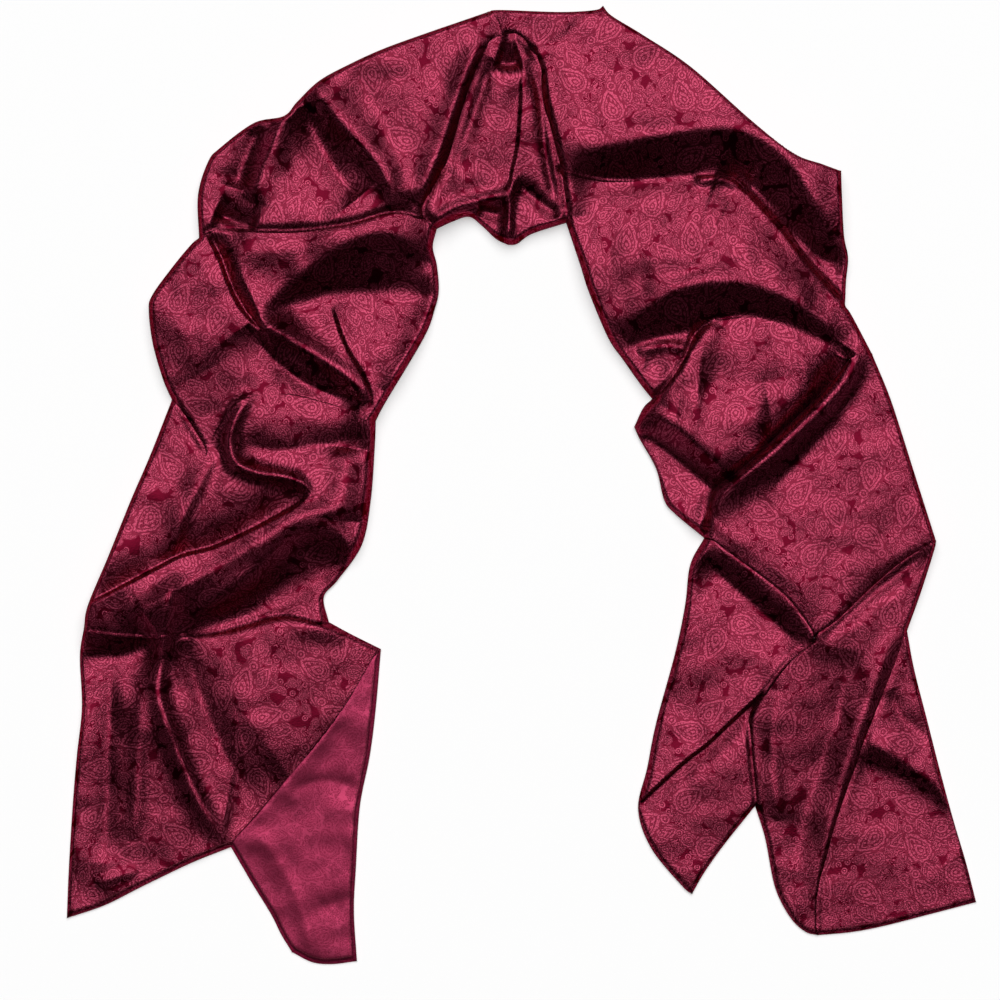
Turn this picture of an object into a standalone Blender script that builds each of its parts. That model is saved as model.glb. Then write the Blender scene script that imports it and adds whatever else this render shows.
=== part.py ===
"""A satin jacquard scarf dropped on a table in an arch, as a set of layered cloth stretches.

Every stretch of cloth that shows is a solid of its own.  Its plan is a loop of edges read on a
square drawing, its top is a field of soft ridges, valleys and layer edges, and its underside is
the flat plane that the scarf rests on.
"""
from collections import namedtuple

import bpy
import numpy as np
from mathutils import Vector
from mathutils.geometry import delaunay_2d_cdt

# Driving sizes, in metres
CUT_WIDTH = 0.70
PLAN_SPAN_OF_CUT = 738.0
UNIT = CUT_WIDTH / PLAN_SPAN_OF_CUT
MM = 0.001
SEAM_GAP = 0.15 * MM
OUTLINE_STEP = 15.5 * MM
RING_INSET = 7.5 * MM
FIELD_STEP = 14.0 * MM
CREASE_STEP = 12.0 * MM
CREASE_ROOM = 5.3 * MM
RING_ROOM = 6.5 * MM
FIELD_ROOM = 13.0 * MM
FIELD_SPACING = 7.8 * MM
ROW_SHARE = 0.866
MITRE_LEAST = 0.15
THINNEST = 2.0 * MM
BASE_REACH = 62.0
CURVE_STEPS = 12
THIN_SOFT = 4.0 * MM
FOLD_POWER = 1.5
VALLEY_POWER = 1.15
FOLD_REACH = 3.2
VALLEY_REACH = 5.2
CREST_ROUND = 1.2 * MM
VALLEY_ROUND = 2.6 * MM
EDGE_POWER = 2.4
FADE_SHARE = 0.22
LAYER_SOFT = 1.6 * MM
PATH_STEP = 5 * MM

# The plan drawing: x runs right and y runs down, in plan units
PLAN_MIDDLE_X = 521.5
PLAN_MIDDLE_Y = 485.0

# Corners where edges meet, in plan units
CORNERS = {
    "left tip": (67, 918), "left hem": (84, 628), "bulge foot": (172, 400),
    "bulge head": (199, 238), "crown left": (488, 12), "peak": (603, 6),
    "right point": (841, 171), "arch right": (845, 306), "knee top": (872, 354),
    "knee right": (936, 541), "end right": (907, 631), "right tip": (976, 902),
    "end foot": (818, 935), "tail joint": (755, 806), "tail tip": (692, 894),
    "knee left": (704, 538), "tent tip": (634, 427), "tent joint": (652, 399),
    "crown foot": (566, 223), "crown tip": (508, 245), "crown joint": (437, 229),
    "leg right": (376, 421), "pocket end": (329, 622), "flap top": (381, 649),
    "flap tip": (357, 961), "flap joint": (231, 847), "leg inner": (208, 456),
    "pocket tip": (176, 634),
    "gap top": (502, 38), "crown top": (531, 52), "arch left": (560, 172),
    "arch middle": (690, 176), "tent top": (713, 320), "ridge top": (848, 360),
    "cross": (813, 638), "flap foot": (292, 952),
}

# Edges of the stretches.  kind: free lies on the table, over and join meet another stretch.
# lip is the height of the cloth's edge and roll the width of its rounding, in millimetres.
# over names the stretch on top, whose edge drops by lip; tuck is how far the lower one dips.
# An edge in EMERGING grows out of smooth cloth at its start, or at its end with a minus sign.
Edge = namedtuple("Edge", "start end kind lip roll over tuck via")
EDGES = {
    "left selvedge": Edge("left tip", "left hem", "free", 3, 5, "", 0,
                          [(69, 868), (73, 803), (77, 755), (82, 707), (80, 656)]),
    "leg selvedge": Edge("left hem", "bulge foot", "free", 3, 6, "", 0,
                         [(88, 605), (108, 557), (131, 500), (150, 456)]),
    "bulge side": Edge("bulge foot", "bulge head", "free", 5, 7, "", 0,
                       [(163, 379), (153, 344), (149, 312), (152, 296), (172, 268), (191, 245)]),
    "shoulder side": Edge("bulge head", "crown left", "free", 4, 7, "", 0,
                          [(198, 195), (208, 162), (220, 148), (254, 123), (284, 116), (297, 102),
                           (319, 81), (348, 65), (383, 49), (427, 33), (459, 22)]),
    "crown back": Edge("crown left", "peak", "free", 3.5, 5, "", 0,
                       [(500, 10), (560, 12), (595, 10)]),
    "shoulder back": Edge("peak", "right point", "free", 3.5, 5, "", 0,
                          [(612, 16), (643, 35), (691, 67), (752, 121), (793, 153), (822, 164)]),
    "arch side": Edge("right point", "arch right", "free", 4.5, 6, "", 0,
                      [(842, 198), (844, 236), (848, 258), (846, 281)]),
    "middle side": Edge("arch right", "knee top", "free", 4, 7, "", 0, [(852, 316)]),
    "knee side": Edge("knee top", "knee right", "free", 4, 6, "", 0,
                      [(889, 395), (902, 434), (914, 472), (929, 519)]),
    "end side": Edge("knee right", "end right", "free", 3.5, 6, "", 0, [(934, 551), (921, 592)]),
    "corner side": Edge("end right", "right tip", "free", 3, 5, "", 0,
                        [(914, 669), (927, 720), (940, 771), (953, 819), (966, 863)]),
    "corner hem": Edge("right tip", "end foot", "free", 2.5, 6, "", 0,
                       [(930, 914), (883, 926), (851, 932)]),
    "end fold": Edge("end foot", "tail joint", "free", 3, 7, "", 0,
                     [(806, 932), (793, 921), (781, 902), (773, 880), (765, 838)]),
    "tail hem": Edge("tail joint", "tail tip", "free", 3.5, 6, "", 0, [(723, 846), (704, 873)]),
    "tail side": Edge("tail tip", "knee left", "free", 3.5, 7, "", 0,
                      [(682, 886), (651, 848), (638, 809), (647, 768), (656, 723), (675, 653),
                       (685, 605), (690, 565)]),
    "tent foot": Edge("knee left", "tent tip", "free", 4.5, 7, "", 0,
                      [(675, 514), (664, 500), (656, 469), (640, 440)]),
    "tent corner": Edge("tent tip", "tent joint", "free", 4.5, 9, "", 0, [(643, 408)]),
    "arch inner": Edge("tent joint", "crown foot", "free", 4.5, 7, "", 0,
                       [(640, 384), (623, 360), (608, 338), (589, 293), (580, 265)]),
    "crown hem": Edge("crown foot", "crown tip", "free", 3, 6, "", 0, [(532, 234), (517, 244)]),
    "crown fold": Edge("crown tip", "crown joint", "free", 3, 5, "", 0,
                       [(496, 239), (482, 226), (469, 217), (452, 222)]),
    "bulge inner": Edge("crown joint", "leg right", "free", 4.5, 7, "", 0,
                        [(433, 247), (437, 265), (439, 290), (435, 309), (424, 338), (386, 402)]),
    "leg inner side": Edge("leg right", "pocket end", "free", 4, 8, "", 0,
                           [(375, 446), (371, 500), (362, 545), (338, 580), (324, 597)]),
    "front top": Edge("pocket end", "flap top", "free", 3, 8, "", 0, [(351, 634)]),
    "flap side": Edge("flap top", "flap tip", "free", 2, 6, "", 0,
                      [(376, 707), (370, 755), (360, 806), (356, 867), (354, 911)]),
    "flap hem": Edge("flap tip", "flap foot", "free", 2, 8, "", 0, [(332, 964), (312, 962)]),
    "flap selvedge": Edge("flap foot", "flap joint", "free", 2, 6, "", 0,
                          [(281, 934), (271, 914), (252, 883)]),
    "front hem": Edge("flap joint", "left tip", "free", 3, 7, "", 0,
                      [(191, 863), (143, 886), (105, 905)]),
    "hem over flap": Edge("flap top", "flap joint", "over", 1.2, 4, "left_front", 0,
                          [(351, 701), (319, 745), (287, 784), (255, 822)]),
    "front join": Edge("left hem", "pocket tip", "join", 0, 0, "", 0, [(130, 633)]),
    "front lip": Edge("pocket tip", "pocket end", "over", 6, 9, "left_front", 0,
                      [(212, 631), (243, 623), (284, 613)]),
    "bulge hem": Edge("bulge foot", "leg inner", "over", 6, 8, "left_bulge", 3, [(192, 429)]),
    "leg seam": Edge("leg inner", "leg right", "join", 0, 0, "", 0,
                     [(222, 430), (245, 404), (285, 398), (330, 408)]),
    "shoulder seam": Edge("bulge head", "crown joint", "over", 4, 7, "left_bulge", 3,
                          [(215, 229), (250, 230), (300, 230), (350, 224), (388, 213), (414, 215)]),
    "gap ridge": Edge("gap top", "crown joint", "over", 8, 10, "left_shoulder", 4,
                      [(486, 51), (472, 82), (462, 112), (447, 163), (431, 194), (425, 214)]),
    "crown seam": Edge("crown left", "gap top", "join", 0, 0, "", 0, [(495, 24)]),
    "crown lip": Edge("gap top", "crown top", "over", 7, 8, "right_shoulder", 2, [(516, 39)]),
    "crown ridge": Edge("crown top", "arch left", "over", 7, 8, "right_shoulder", 3,
                        [(540, 72), (543, 102), (553, 145)]),
    "crown inner": Edge("arch left", "crown foot", "over", 6, 8, "right_middle", 3, [(564, 204)]),
    "arch seam": Edge("arch left", "arch middle", "join", 0, 0, "", 0,
                      [(571, 173), (608, 179), (656, 179)]),
    "arch lip": Edge("arch middle", "arch right", "over", 4, 6, "right_middle", 6,
                     [(728, 177), (744, 189), (780, 227), (799, 252), (822, 279)]),
    "tent lip": Edge("tent top", "tent joint", "over", 7, 7, "right_tent", 5,
                     [(694, 333), (682, 359), (667, 382)]),
    "tent seam": Edge("tent top", "ridge top", "join", 0, 0, "", 0,
                      [(742, 316), (780, 325), (815, 340)]),
    "knee seam": Edge("ridge top", "knee top", "join", 0, 0, "", 0, []),
    "ridge crease": Edge("ridge top", "knee left", "over", 6, 8, "right_knee", 6,
                         [(828, 385), (800, 414), (772, 440), (752, 459), (733, 475), (713, 492)]),
    "knee lip left": Edge("knee left", "cross", "over", 9, 4, "right_knee", 0,
                          [(728, 555), (772, 588), (793, 609)]),
    "knee lip right": Edge("knee right", "cross", "over", 7, 4, "right_knee", 0,
                           [(902, 562), (869, 590), (837, 620)]),
    "end lip": Edge("cross", "tail joint", "over", 5, 5, "right_end", 2,
                    [(780, 666), (751, 711), (749, 744)]),
    "end ridge": Edge("end right", "end foot", "over", 4, 5, "right_end", 1,
                      [(897, 660), (881, 700), (861, 750), (847, 787), (833, 829), (820, 885)]),
}

EMERGING = ("front lip", "-shoulder seam", "-bulge hem", "gap ridge", "crown lip", "arch lip", "tent lip",
            "ridge crease")
EMERGING_REACH = 0.2

# Stretches of cloth: the edges round each one clockwise in plan, a minus sign where an edge
# runs backwards
STRETCHES = {
    "left_flap": "flap side|flap hem|flap selvedge|-hem over flap",
    "left_front": "left selvedge|front join|front lip|front top|hem over flap|front hem",
    "left_leg": "leg selvedge|bulge hem|leg seam|leg inner side|-front lip|-front join",
    "left_bulge": "bulge side|shoulder seam|bulge inner|-leg seam|-bulge hem",
    "left_shoulder": "shoulder side|crown seam|gap ridge|-shoulder seam",
    "crown_inner": "crown lip|crown ridge|crown inner|crown hem|crown fold|-gap ridge",
    "right_shoulder": "crown back|shoulder back|arch side|-arch lip|-arch seam"
                      "|-crown ridge|-crown lip|-crown seam",
    "right_middle": "arch seam|arch lip|middle side|-knee seam|-tent seam|tent lip"
                    "|arch inner|-crown inner",
    "right_tent": "tent seam|ridge crease|tent foot|tent corner|-tent lip",
    "right_knee": "knee seam|knee side|knee lip right|-knee lip left|-ridge crease",
    "right_tail": "knee lip left|end lip|tail hem|tail side",
    "right_end": "end side|end ridge|end fold|-end lip|-knee lip right",
    "right_corner": "corner side|corner hem|-end ridge",
}

# Height of the heap where no fold crosses it: plan x, plan y, height in millimetres
BASE = [
    (75, 910, 4), (150, 880, 6), (225, 835, 7), (90, 820, 9), (180, 790, 8), (260, 760, 18),
    (330, 690, 9), (370, 655, 5), (90, 740, 13), (150, 700, 16), (230, 670, 16), (300, 640, 13),
    (116, 588, 30), (150, 500, 17), (180, 430, 12), (240, 540, 24), (320, 500, 22), (360, 480, 16),
    (345, 570, 15), (290, 440, 26), (350, 400, 26), (165, 320, 18), (220, 330, 28), (280, 300, 30),
    (340, 340, 17), (420, 270, 20), (400, 350, 17), (300, 240, 30), (220, 180, 18), (300, 160, 26),
    (400, 60, 26), (350, 108, 27), (430, 130, 30), (400, 200, 27), (460, 60, 26), (480, 150, 17),
    (500, 220, 12), (545, 200, 18), (560, 40, 16), (640, 70, 18), (600, 120, 25), (720, 120, 20),
    (820, 190, 23), (600, 205, 19), (700, 205, 21), (780, 260, 23), (840, 290, 18), (620, 320, 20),
    (680, 275, 30), (770, 300, 27), (855, 340, 18), (650, 410, 16), (700, 390, 25), (780, 370, 27),
    (670, 480, 10), (740, 430, 26), (700, 520, 18), (880, 410, 19), (810, 470, 21), (860, 500, 21),
    (915, 535, 20), (790, 560, 23), (820, 610, 24), (690, 600, 12), (750, 650, 13), (670, 720, 9),
    (730, 740, 9), (660, 820, 7), (700, 860, 5), (830, 690, 15), (900, 600, 13), (800, 790, 9),
    (860, 710, 11), (815, 880, 6), (800, 925, 4), (925, 700, 6), (905, 820, 5), (950, 870, 3),
    (860, 920, 3), (300, 800, 5), (345, 740, 5), (345, 820, 6), (300, 870, 5), (335, 890, 6),
    (320, 940, 5), (350, 950, 4), (620, 265, 27), (300, 700, 17), (268, 818, 8), (360, 238, 35),
    (320, 600, 14), (192, 382, 17), (500, 110, 19), (530, 135, 20),
]

# Folds.  left and right are the heights on each side of the line as it is walked, the same for
# a ridge or a valley and of opposite sign at a layer edge; width_left and width_right are how
# far each side spreads; all in millimetres.  fade tells which ends die away.
Fold = namedtuple("Fold", "left right width_left width_right fade on path")
FOLDS = {
    "front ridge": Fold(9, 9, 8, 12, "both", "left_front left_leg",
                        [(178, 570), (166, 640), (160, 690), (175, 740), (200, 800), (226, 842)]),
    "front valley": Fold(-9, -9, 26, 15, "both", "left_front",
                         [(186, 640), (200, 690), (222, 745), (252, 795), (268, 822)]),
    "front hollow": Fold(-16, -16, 24, 24, "both", "left_front left_leg",
                         [(66, 650), (98, 655), (132, 653), (162, 638)]),
    "front streak": Fold(-6, -6, 10, 11, "both", "left_front",
                         [(112, 664), (110, 720), (108, 790), (104, 862)]),
    "front lip crest": Fold(4, 4, 8, 16, "both", "left_front",
                            [(186, 640), (240, 632), (290, 622), (345, 640)]),
    "leg crease": Fold(-13, 2, 20, 14, "both", "left_leg",
                       [(86, 606), (121, 588), (151, 572), (182, 556), (212, 548), (236, 538),
                        (264, 524), (296, 506), (314, 492)]),
    "leg band": Fold(9, 9, 12, 14, "both", "left_leg left_front",
                     [(120, 622), (182, 588), (222, 566), (263, 541), (300, 518), (345, 512)]),
    "pocket": Fold(-15, -15, 32, 16, "both", "left_leg",
                   [(188, 636), (236, 620), (272, 603), (304, 585), (334, 566), (354, 556)]),
    "pocket rim": Fold(7, 7, 14, 14, "both", "left_leg",
                       [(176, 630), (202, 609), (233, 586), (263, 562), (284, 541), (304, 529),
                        (325, 529), (345, 539), (358, 554)]),
    "curl": Fold(10, 10, 6, 6, "both", "left_leg left_bulge",
                 [(255, 392), (238, 416), (231, 441), (236, 461), (256, 472), (285, 477),
                  (303, 484), (312, 500)]),
    "curl hollow": Fold(-9, -9, 16, 20, "both", "left_leg",
                        [(240, 446), (280, 450), (330, 445), (372, 436)]),
    "leg line": Fold(6, 6, 7, 16, "both", "left_leg",
                     [(218, 450), (200, 485), (184, 516), (170, 562)]),
    "leg flank": Fold(8, 8, 18, 20, "both", "left_leg", [(350, 448), (346, 480), (342, 520)]),
    "lobe valley": Fold(-13, -3, 18, 9, "both", "left_bulge",
                        [(206, 232), (220, 258), (230, 285), (243, 310), (264, 334)]),
    "flap valley": Fold(-12, -12, 9, 24, "both", "left_bulge",
                        [(248, 326), (272, 358), (303, 383), (332, 396), (362, 403)]),
    "flap crest": Fold(10, 10, 12, 8, "both", "left_bulge",
                       [(254, 317), (300, 345), (345, 374), (370, 402)]),
    "loop pocket": Fold(-20, -20, 44, 34, "start", "left_bulge",
                        [(262, 318), (298, 303), (335, 293), (380, 292), (434, 296)]),
    "loop rim": Fold(8, 8, 16, 13, "both", "left_bulge",
                     [(252, 320), (290, 284), (320, 261), (350, 243), (385, 234), (412, 243),
                      (430, 266)]),
    "loop edge": Fold(-4, 3, 14, 10, "both", "left_bulge",
                      [(332, 306), (346, 345), (366, 380), (374, 408)]),
    "loop roll": Fold(8, 8, 9, 13, "both", "left_bulge",
                      [(434, 262), (433, 300), (419, 338), (390, 394)]),
    "bulge swell": Fold(2.5, 2.5, 24, 30, "both", "left_bulge",
                        [(180, 275), (180, 325), (205, 372)]),
    "bulge brow": Fold(2, 2, 8, 10, "both", "left_bulge", [(222, 250), (290, 252), (350, 232)]),
    "shoulder hook": Fold(12, 12, 18, 11, "both", "left_shoulder",
                          [(314, 84), (322, 98), (334, 115), (356, 139), (378, 163), (392, 188),
                           (398, 212)]),
    "shoulder hollow": Fold(-12, -12, 24, 22, "both", "left_shoulder",
                            [(306, 108), (318, 138), (334, 168), (360, 200)]),
    "cup rim": Fold(8, 8, 14, 7, "both", "left_shoulder",
                    [(300, 104), (288, 122), (276, 145), (263, 175), (253, 204)]),
    "cup": Fold(-9, -9, 10, 16, "both", "left_shoulder", [(262, 128), (246, 160), (236, 190)]),
    "gap crest": Fold(11, 11, 8, 15, "both", "left_shoulder",
                      [(486, 42), (468, 78), (453, 118), (438, 158), (420, 206)]),
    "recess": Fold(-6, -6, 8, 8, "both", "crown_inner", [(492, 60), (476, 108), (452, 176)]),
    "crown slot": Fold(-5, -5, 3, 4, "both", "crown_inner",
                       [(529, 60), (538, 92), (543, 133), (549, 173), (557, 206)]),
    "crown pleat": Fold(6, 6, 6, 5, "both", "crown_inner",
                        [(430, 224), (456, 209), (484, 201), (512, 194)]),
    "crown crest": Fold(6, 6, 18, 8, "both", "right_shoulder right_middle",
                        [(543, 56), (552, 105), (566, 155), (577, 218)]),
    "arch valley": Fold(-12, -12, 13, 24, "both", "right_shoulder right_middle",
                        [(560, 179), (600, 181), (640, 181), (690, 176), (722, 174), (752, 186)]),
    "arch brow": Fold(11, 11, 24, 16, "both", "right_shoulder",
                      [(566, 154), (600, 148), (655, 137), (700, 130), (750, 136), (787, 162),
                       (813, 200), (838, 238)]),
    "peak crease": Fold(-1.4, -1.4, 6, 6, "both", "right_shoulder",
                        [(604, 9), (584, 20), (564, 39), (540, 52)]),
    "middle swell": Fold(5, 5, 34, 20, "both", "right_middle",
                         [(610, 262), (690, 258), (770, 268), (815, 300)]),
    "second valley": Fold(-10, -10, 13, 22, "both", "right_middle right_tent",
                          [(614, 352), (650, 342), (690, 331), (713, 322), (745, 317),
                           (782, 324), (815, 338), (846, 354)]),
    "second brow": Fold(9, 9, 16, 14, "both", "right_middle",
                        [(618, 334), (642, 310), (672, 292), (705, 284), (745, 286), (795, 304),
                         (846, 340)]),
    "small tent": Fold(4, 4, 5, 5, "both", "right_middle", [(636, 352), (664, 346), (692, 350)]),
    "small hollow": Fold(-2, -2, 7, 8, "both", "right_middle",
                         [(644, 364), (664, 368), (682, 366)]),
    "pinch": Fold(-1.5, -1.5, 6, 6, "both", "right_middle", [(667, 284), (694, 270), (744, 254)]),
    "tent crest": Fold(6, 6, 18, 6, "both", "right_tent",
                       [(716, 322), (700, 341), (686, 361), (672, 383), (658, 404)]),
    "tent valley": Fold(-14, -14, 8, 28, "both", "right_tent",
                        [(632, 432), (656, 446), (684, 468), (706, 486), (720, 497)]),
    "tent brow": Fold(8, 8, 16, 9, "both", "right_tent",
                      [(648, 408), (676, 426), (704, 451), (730, 474)]),
    "long groove": Fold(-14, -14, 8, 14, "both", "right_tent",
                        [(850, 350), (832, 378), (812, 404), (790, 432), (766, 460)]),
    "long ridge": Fold(10, 10, 12, 10, "both", "right_knee",
                       [(856, 346), (848, 374), (826, 403), (797, 431), (765, 459), (735, 482),
                        (708, 512)]),
    "knee hollow": Fold(-4, -4, 20, 8, "both", "right_knee",
                        [(872, 354), (852, 394), (830, 424), (808, 450), (788, 472), (766, 496)]),
    "knee ridge left": Fold(2, 2, 18, 9, "both", "right_knee",
                            [(704, 518), (742, 545), (782, 574), (802, 592), (814, 616)]),
    "knee ridge right": Fold(2, 2, 9, 16, "both", "right_knee",
                             [(932, 534), (900, 551), (868, 577), (838, 605), (816, 628)]),
    "tail hollow": Fold(-10, -10, 10, 20, "both", "right_tail",
                        [(700, 558), (734, 588), (766, 614), (802, 648)]),
    "tail fold": Fold(-10, 6, 10, 17, "start", "right_tail",
                      [(812, 648), (790, 668), (751, 703), (726, 726), (707, 744), (684, 762),
                       (642, 800)]),
    "end crest": Fold(6, 6, 9, 13, "both", "right_end",
                      [(900, 630), (884, 655), (866, 702), (846, 760), (829, 828), (812, 900)]),
    "end valley": Fold(-4, -4, 12, 14, "both", "right_end",
                       [(846, 648), (840, 700), (824, 752), (806, 806), (792, 870)]),
    "end brow": Fold(4, 4, 10, 10, "both", "right_end", [(776, 690), (772, 745), (778, 820)]),
    "end hollow": Fold(-6, -6, 6, 13, "both", "right_end",
                       [(934, 549), (902, 570), (870, 595), (840, 622), (820, 640)]),
    "corner band": Fold(-10, -10, 12, 20, "both", "right_corner",
                        [(852, 757), (880, 779), (908, 800), (932, 815), (962, 850)]),
    "corner brow": Fold(6, 6, 14, 9, "both", "right_corner",
                        [(866, 738), (905, 764), (935, 784), (955, 808)]),
    "corner nick": Fold(-3, -3, 7, 8, "both", "right_corner", [(888, 690), (903, 718), (934, 742)]),
    "flap dip": Fold(-1.8, -1.8, 8, 8, "both", "left_flap", [(288, 792), (322, 780), (362, 788)]),
    "flap fold": Fold(1.5, 1.5, 5, 8, "both", "left_flap",
                      [(258, 826), (285, 872), (303, 912), (318, 958)]),
    "flap low dip": Fold(-1.4, -1.4, 7, 7, "both", "left_flap", [(318, 908), (354, 896)]),
    "shoulder valley": Fold(-4, -4, 18, 16, "both", "left_shoulder",
                            [(352, 64), (374, 110), (398, 160), (408, 192)]),
    "seam pocket": Fold(-12, -12, 10, 6, "both", "left_shoulder",
                        [(216, 214), (236, 222), (258, 228)]),
    "lip crest": Fold(3, 3, 6, 7, "both", "right_middle",
                      [(690, 190), (706, 182), (724, 181), (748, 194), (774, 222), (795, 248),
                       (816, 270)]),
    "lip crescent": Fold(4, 4, 6, 4, "both", "right_middle", [(694, 182), (718, 179), (742, 186)]),
    "tent swell": Fold(5, 5, 30, 26, "both", "right_tent", [(676, 412), (720, 418), (768, 412)]),
    "front sink": Fold(-5, -5, 34, 16, "both", "left_front", [(226, 812), (262, 816), (300, 790)]),
    "front side": Fold(4, 4, 8, 9, "both", "left_front", [(142, 690), (140, 760), (134, 840)]),
    "arch gully": Fold(-15, -15, 14, 26, "both", "right_shoulder right_middle",
                       [(716, 172), (746, 184), (773, 214), (797, 242), (822, 262), (848, 262)]),
    "tent sink": Fold(-6, -6, 30, 24, "both", "right_tent", [(698, 380), (750, 384), (802, 370)]),
    "crown cavity": Fold(-12, -12, 13, 5, "both", "crown_inner", [(496, 62), (508, 65), (521, 62)]),
    "crown line": Fold(2.4, -2.4, 12, 12, "both", "crown_inner",
                       [(521, 76), (520, 110), (517, 148), (511, 176), (510, 196)]),
    "crown tip ridge": Fold(6, 6, 4, 6, "both", "crown_inner",
                            [(513, 180), (509, 210), (508, 242)]),
    "crown pocket": Fold(-8, -8, 4, 7, "both", "crown_inner", [(478, 209), (494, 214), (508, 214)]),
    "crown tuck": Fold(-6, -6, 5, 8, "both", "crown_inner", [(515, 183), (536, 200), (560, 218)]),
}

# The cloth's side where it lies on the table: how far in, in millimetres, for a single edge and
# for a folded one, and how high, as a part of the edge's height.  A folded edge has two bulges.
SideRow = namedtuple("SideRow", "single folded share")
SIDE_ROWS = [SideRow(1.2, 1.8, 0.0), SideRow(0.0, 0.2, 0.26), SideRow(0.0, 2.2, 0.50),
             SideRow(0.3, 0.0, 0.74), SideRow(1.2, 1.7, 1.0)]
SINGLE_LIP = 3.0
FOLDED_LIP = 6.0

FACE_RED = (0.235, 0.010, 0.032, 1.0)
REVERSE_RED = (0.330, 0.022, 0.062, 1.0)


def clear_scene():
    for old in list(bpy.data.objects):
        bpy.data.objects.remove(old, do_unlink=True)


def cloth_material(name, colour, roughness):
    material = bpy.data.materials.new(name)
    material.use_nodes = True
    shader = material.node_tree.nodes["Principled BSDF"]
    shader.inputs["Base Color"].default_value = colour
    shader.inputs["Roughness"].default_value = roughness
    shader.inputs["Metallic"].default_value = 0.0
    return material


def to_metres(points):
    plan = np.asarray(points, float)
    return np.stack([(plan[:, 0] - PLAN_MIDDLE_X) * UNIT, (PLAN_MIDDLE_Y - plan[:, 1]) * UNIT], 1)


def smooth_path(points, step):
    """A curve through the points, cut into equal lengths close to step."""
    knots = to_metres(points)
    if len(knots) > 2:
        ends = np.vstack([2 * knots[0] - knots[1], knots, 2 * knots[-1] - knots[-2]])
        curve = []
        for k in range(len(knots) - 1):
            p0, p1, p2, p3 = ends[k:k + 4]
            for t in np.linspace(0, 1, CURVE_STEPS, endpoint=False):
                curve.append(0.5 * (2 * p1 + (p2 - p0) * t + (2 * p0 - 5 * p1 + 4 * p2 - p3) * t * t
                                    + (3 * p1 - p0 - 3 * p2 + p3) * t ** 3))
        knots = np.vstack([curve, ends[-2]])
    lengths = np.concatenate([[0], np.cumsum(np.linalg.norm(np.diff(knots, axis=0), axis=1))])
    count = max(1, round(lengths[-1] / step))
    places = np.linspace(0, lengths[-1], count + 1)
    return np.stack([np.interp(places, lengths, knots[:, k]) for k in (0, 1)], 1)


def edge_path(name, step):
    backwards = name.startswith("-")
    edge = EDGES[name.lstrip("-")]
    path = smooth_path([CORNERS[edge.start]] + edge.via + [CORNERS[edge.end]], step)
    return path[::-1] if backwards else path


def distance_to(path, points):
    """Distance from each point to a path, its part of the way along, and True on the left."""
    best = np.full(len(points), 1e9)
    along = np.zeros(len(points))
    left = np.zeros(len(points), bool)
    lengths = np.linalg.norm(np.diff(path, axis=0), axis=1)
    total = lengths.sum()
    walked = 0.0
    for a, b, length in zip(path[:-1], path[1:], lengths):
        way = (b - a) / length
        reach = np.clip((points - a) @ way, 0, length)
        offset = points - (a + reach[:, None] * way)
        gap = np.hypot(offset[:, 0], offset[:, 1])
        near = gap < best
        best[near] = gap[near]
        along[near] = (walked + reach[near]) / total
        left[near] = (way[0] * offset[near, 1] - way[1] * offset[near, 0]) > 0
        walked += length
    return best, along, left


def rounding(share):
    """A soft shoulder: 0 at the edge, 1 where the rounding ends."""
    inner = 1 - np.clip(share, 0, 1)
    return 1 - inner ** EDGE_POWER


def base_height(points):
    plan = np.array([row[:2] for row in BASE], float)
    places = to_metres(plan)
    heights = np.array([row[2] for row in BASE]) * MM
    square = ((points[:, None, :] - places[None]) ** 2).sum(2) / (BASE_REACH * UNIT) ** 2
    weight = np.exp(-square * 2.0) + 1e-9
    return (weight * heights).sum(1) / weight.sum(1)


def soft_step(share):
    """From 0 to 1 without a corner at either end."""
    share = np.clip(share, 0, 1)
    return share * share * (3 - 2 * share)


def near_to(path, points, reach):
    """The points in the path's box, widened by reach: all others lie further away."""
    low, high = path.min(0) - reach, path.max(0) + reach
    return np.flatnonzero(((points > low) & (points < high)).all(1))


def fold_height(fold, path, points):
    gap, along, left = distance_to(path, points)
    width = np.where(left, fold.width_left, fold.width_right) * MM
    rise = np.where(left, fold.left, fold.right) * MM
    if fold.left != fold.right:
        middle = 0.5 * (fold.left + fold.right) * MM
        rise = middle + (rise - middle) * soft_step(gap / LAYER_SOFT)
    fade = np.ones(len(points))
    if fold.fade in ("both", "start"):
        fade *= np.clip(along / FADE_SHARE, 0, 1)
    if fold.fade in ("both", "end"):
        fade *= np.clip((1 - along) / FADE_SHARE, 0, 1)
    bend, power = (CREST_ROUND, FOLD_POWER) if fold.right > 0 else (VALLEY_ROUND, VALLEY_POWER)
    crest = np.hypot(gap, bend) - bend
    return rise * fade * (2 - fade) * np.exp(-(crest / width) ** power)


def edges_of(name):
    return [part.lstrip("-") for part in STRETCHES[name].split("|")]


def joined_to(name):
    """The stretches that this one runs on into with no layer between them."""
    joins = {part for part in edges_of(name) if EDGES[part].kind == "join"}
    return [other for other in STRETCHES if other != name and joins & set(edges_of(other))]


def shaping_edges(name):
    """The stretch's own edges, and the free ones of a stretch that it runs on into."""
    parts = edges_of(name)
    for other in joined_to(name):
        parts += [part for part in edges_of(other) if EDGES[part].kind == "free"]
    return [part for part in dict.fromkeys(parts) if EDGES[part].kind != "join"]


def folds_of(name):
    shared = {name, *joined_to(name)}
    return [fold for fold in FOLDS.values() if shared & set(fold.on.split())]


def emerging(part, along):
    """1 along a layer edge, and down to 0 where it grows out of smooth cloth."""
    if part in EMERGING:
        return np.clip(along / EMERGING_REACH, 0, 1)
    if "-" + part in EMERGING:
        return np.clip((1 - along) / EMERGING_REACH, 0, 1)
    return np.ones(len(along))


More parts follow.
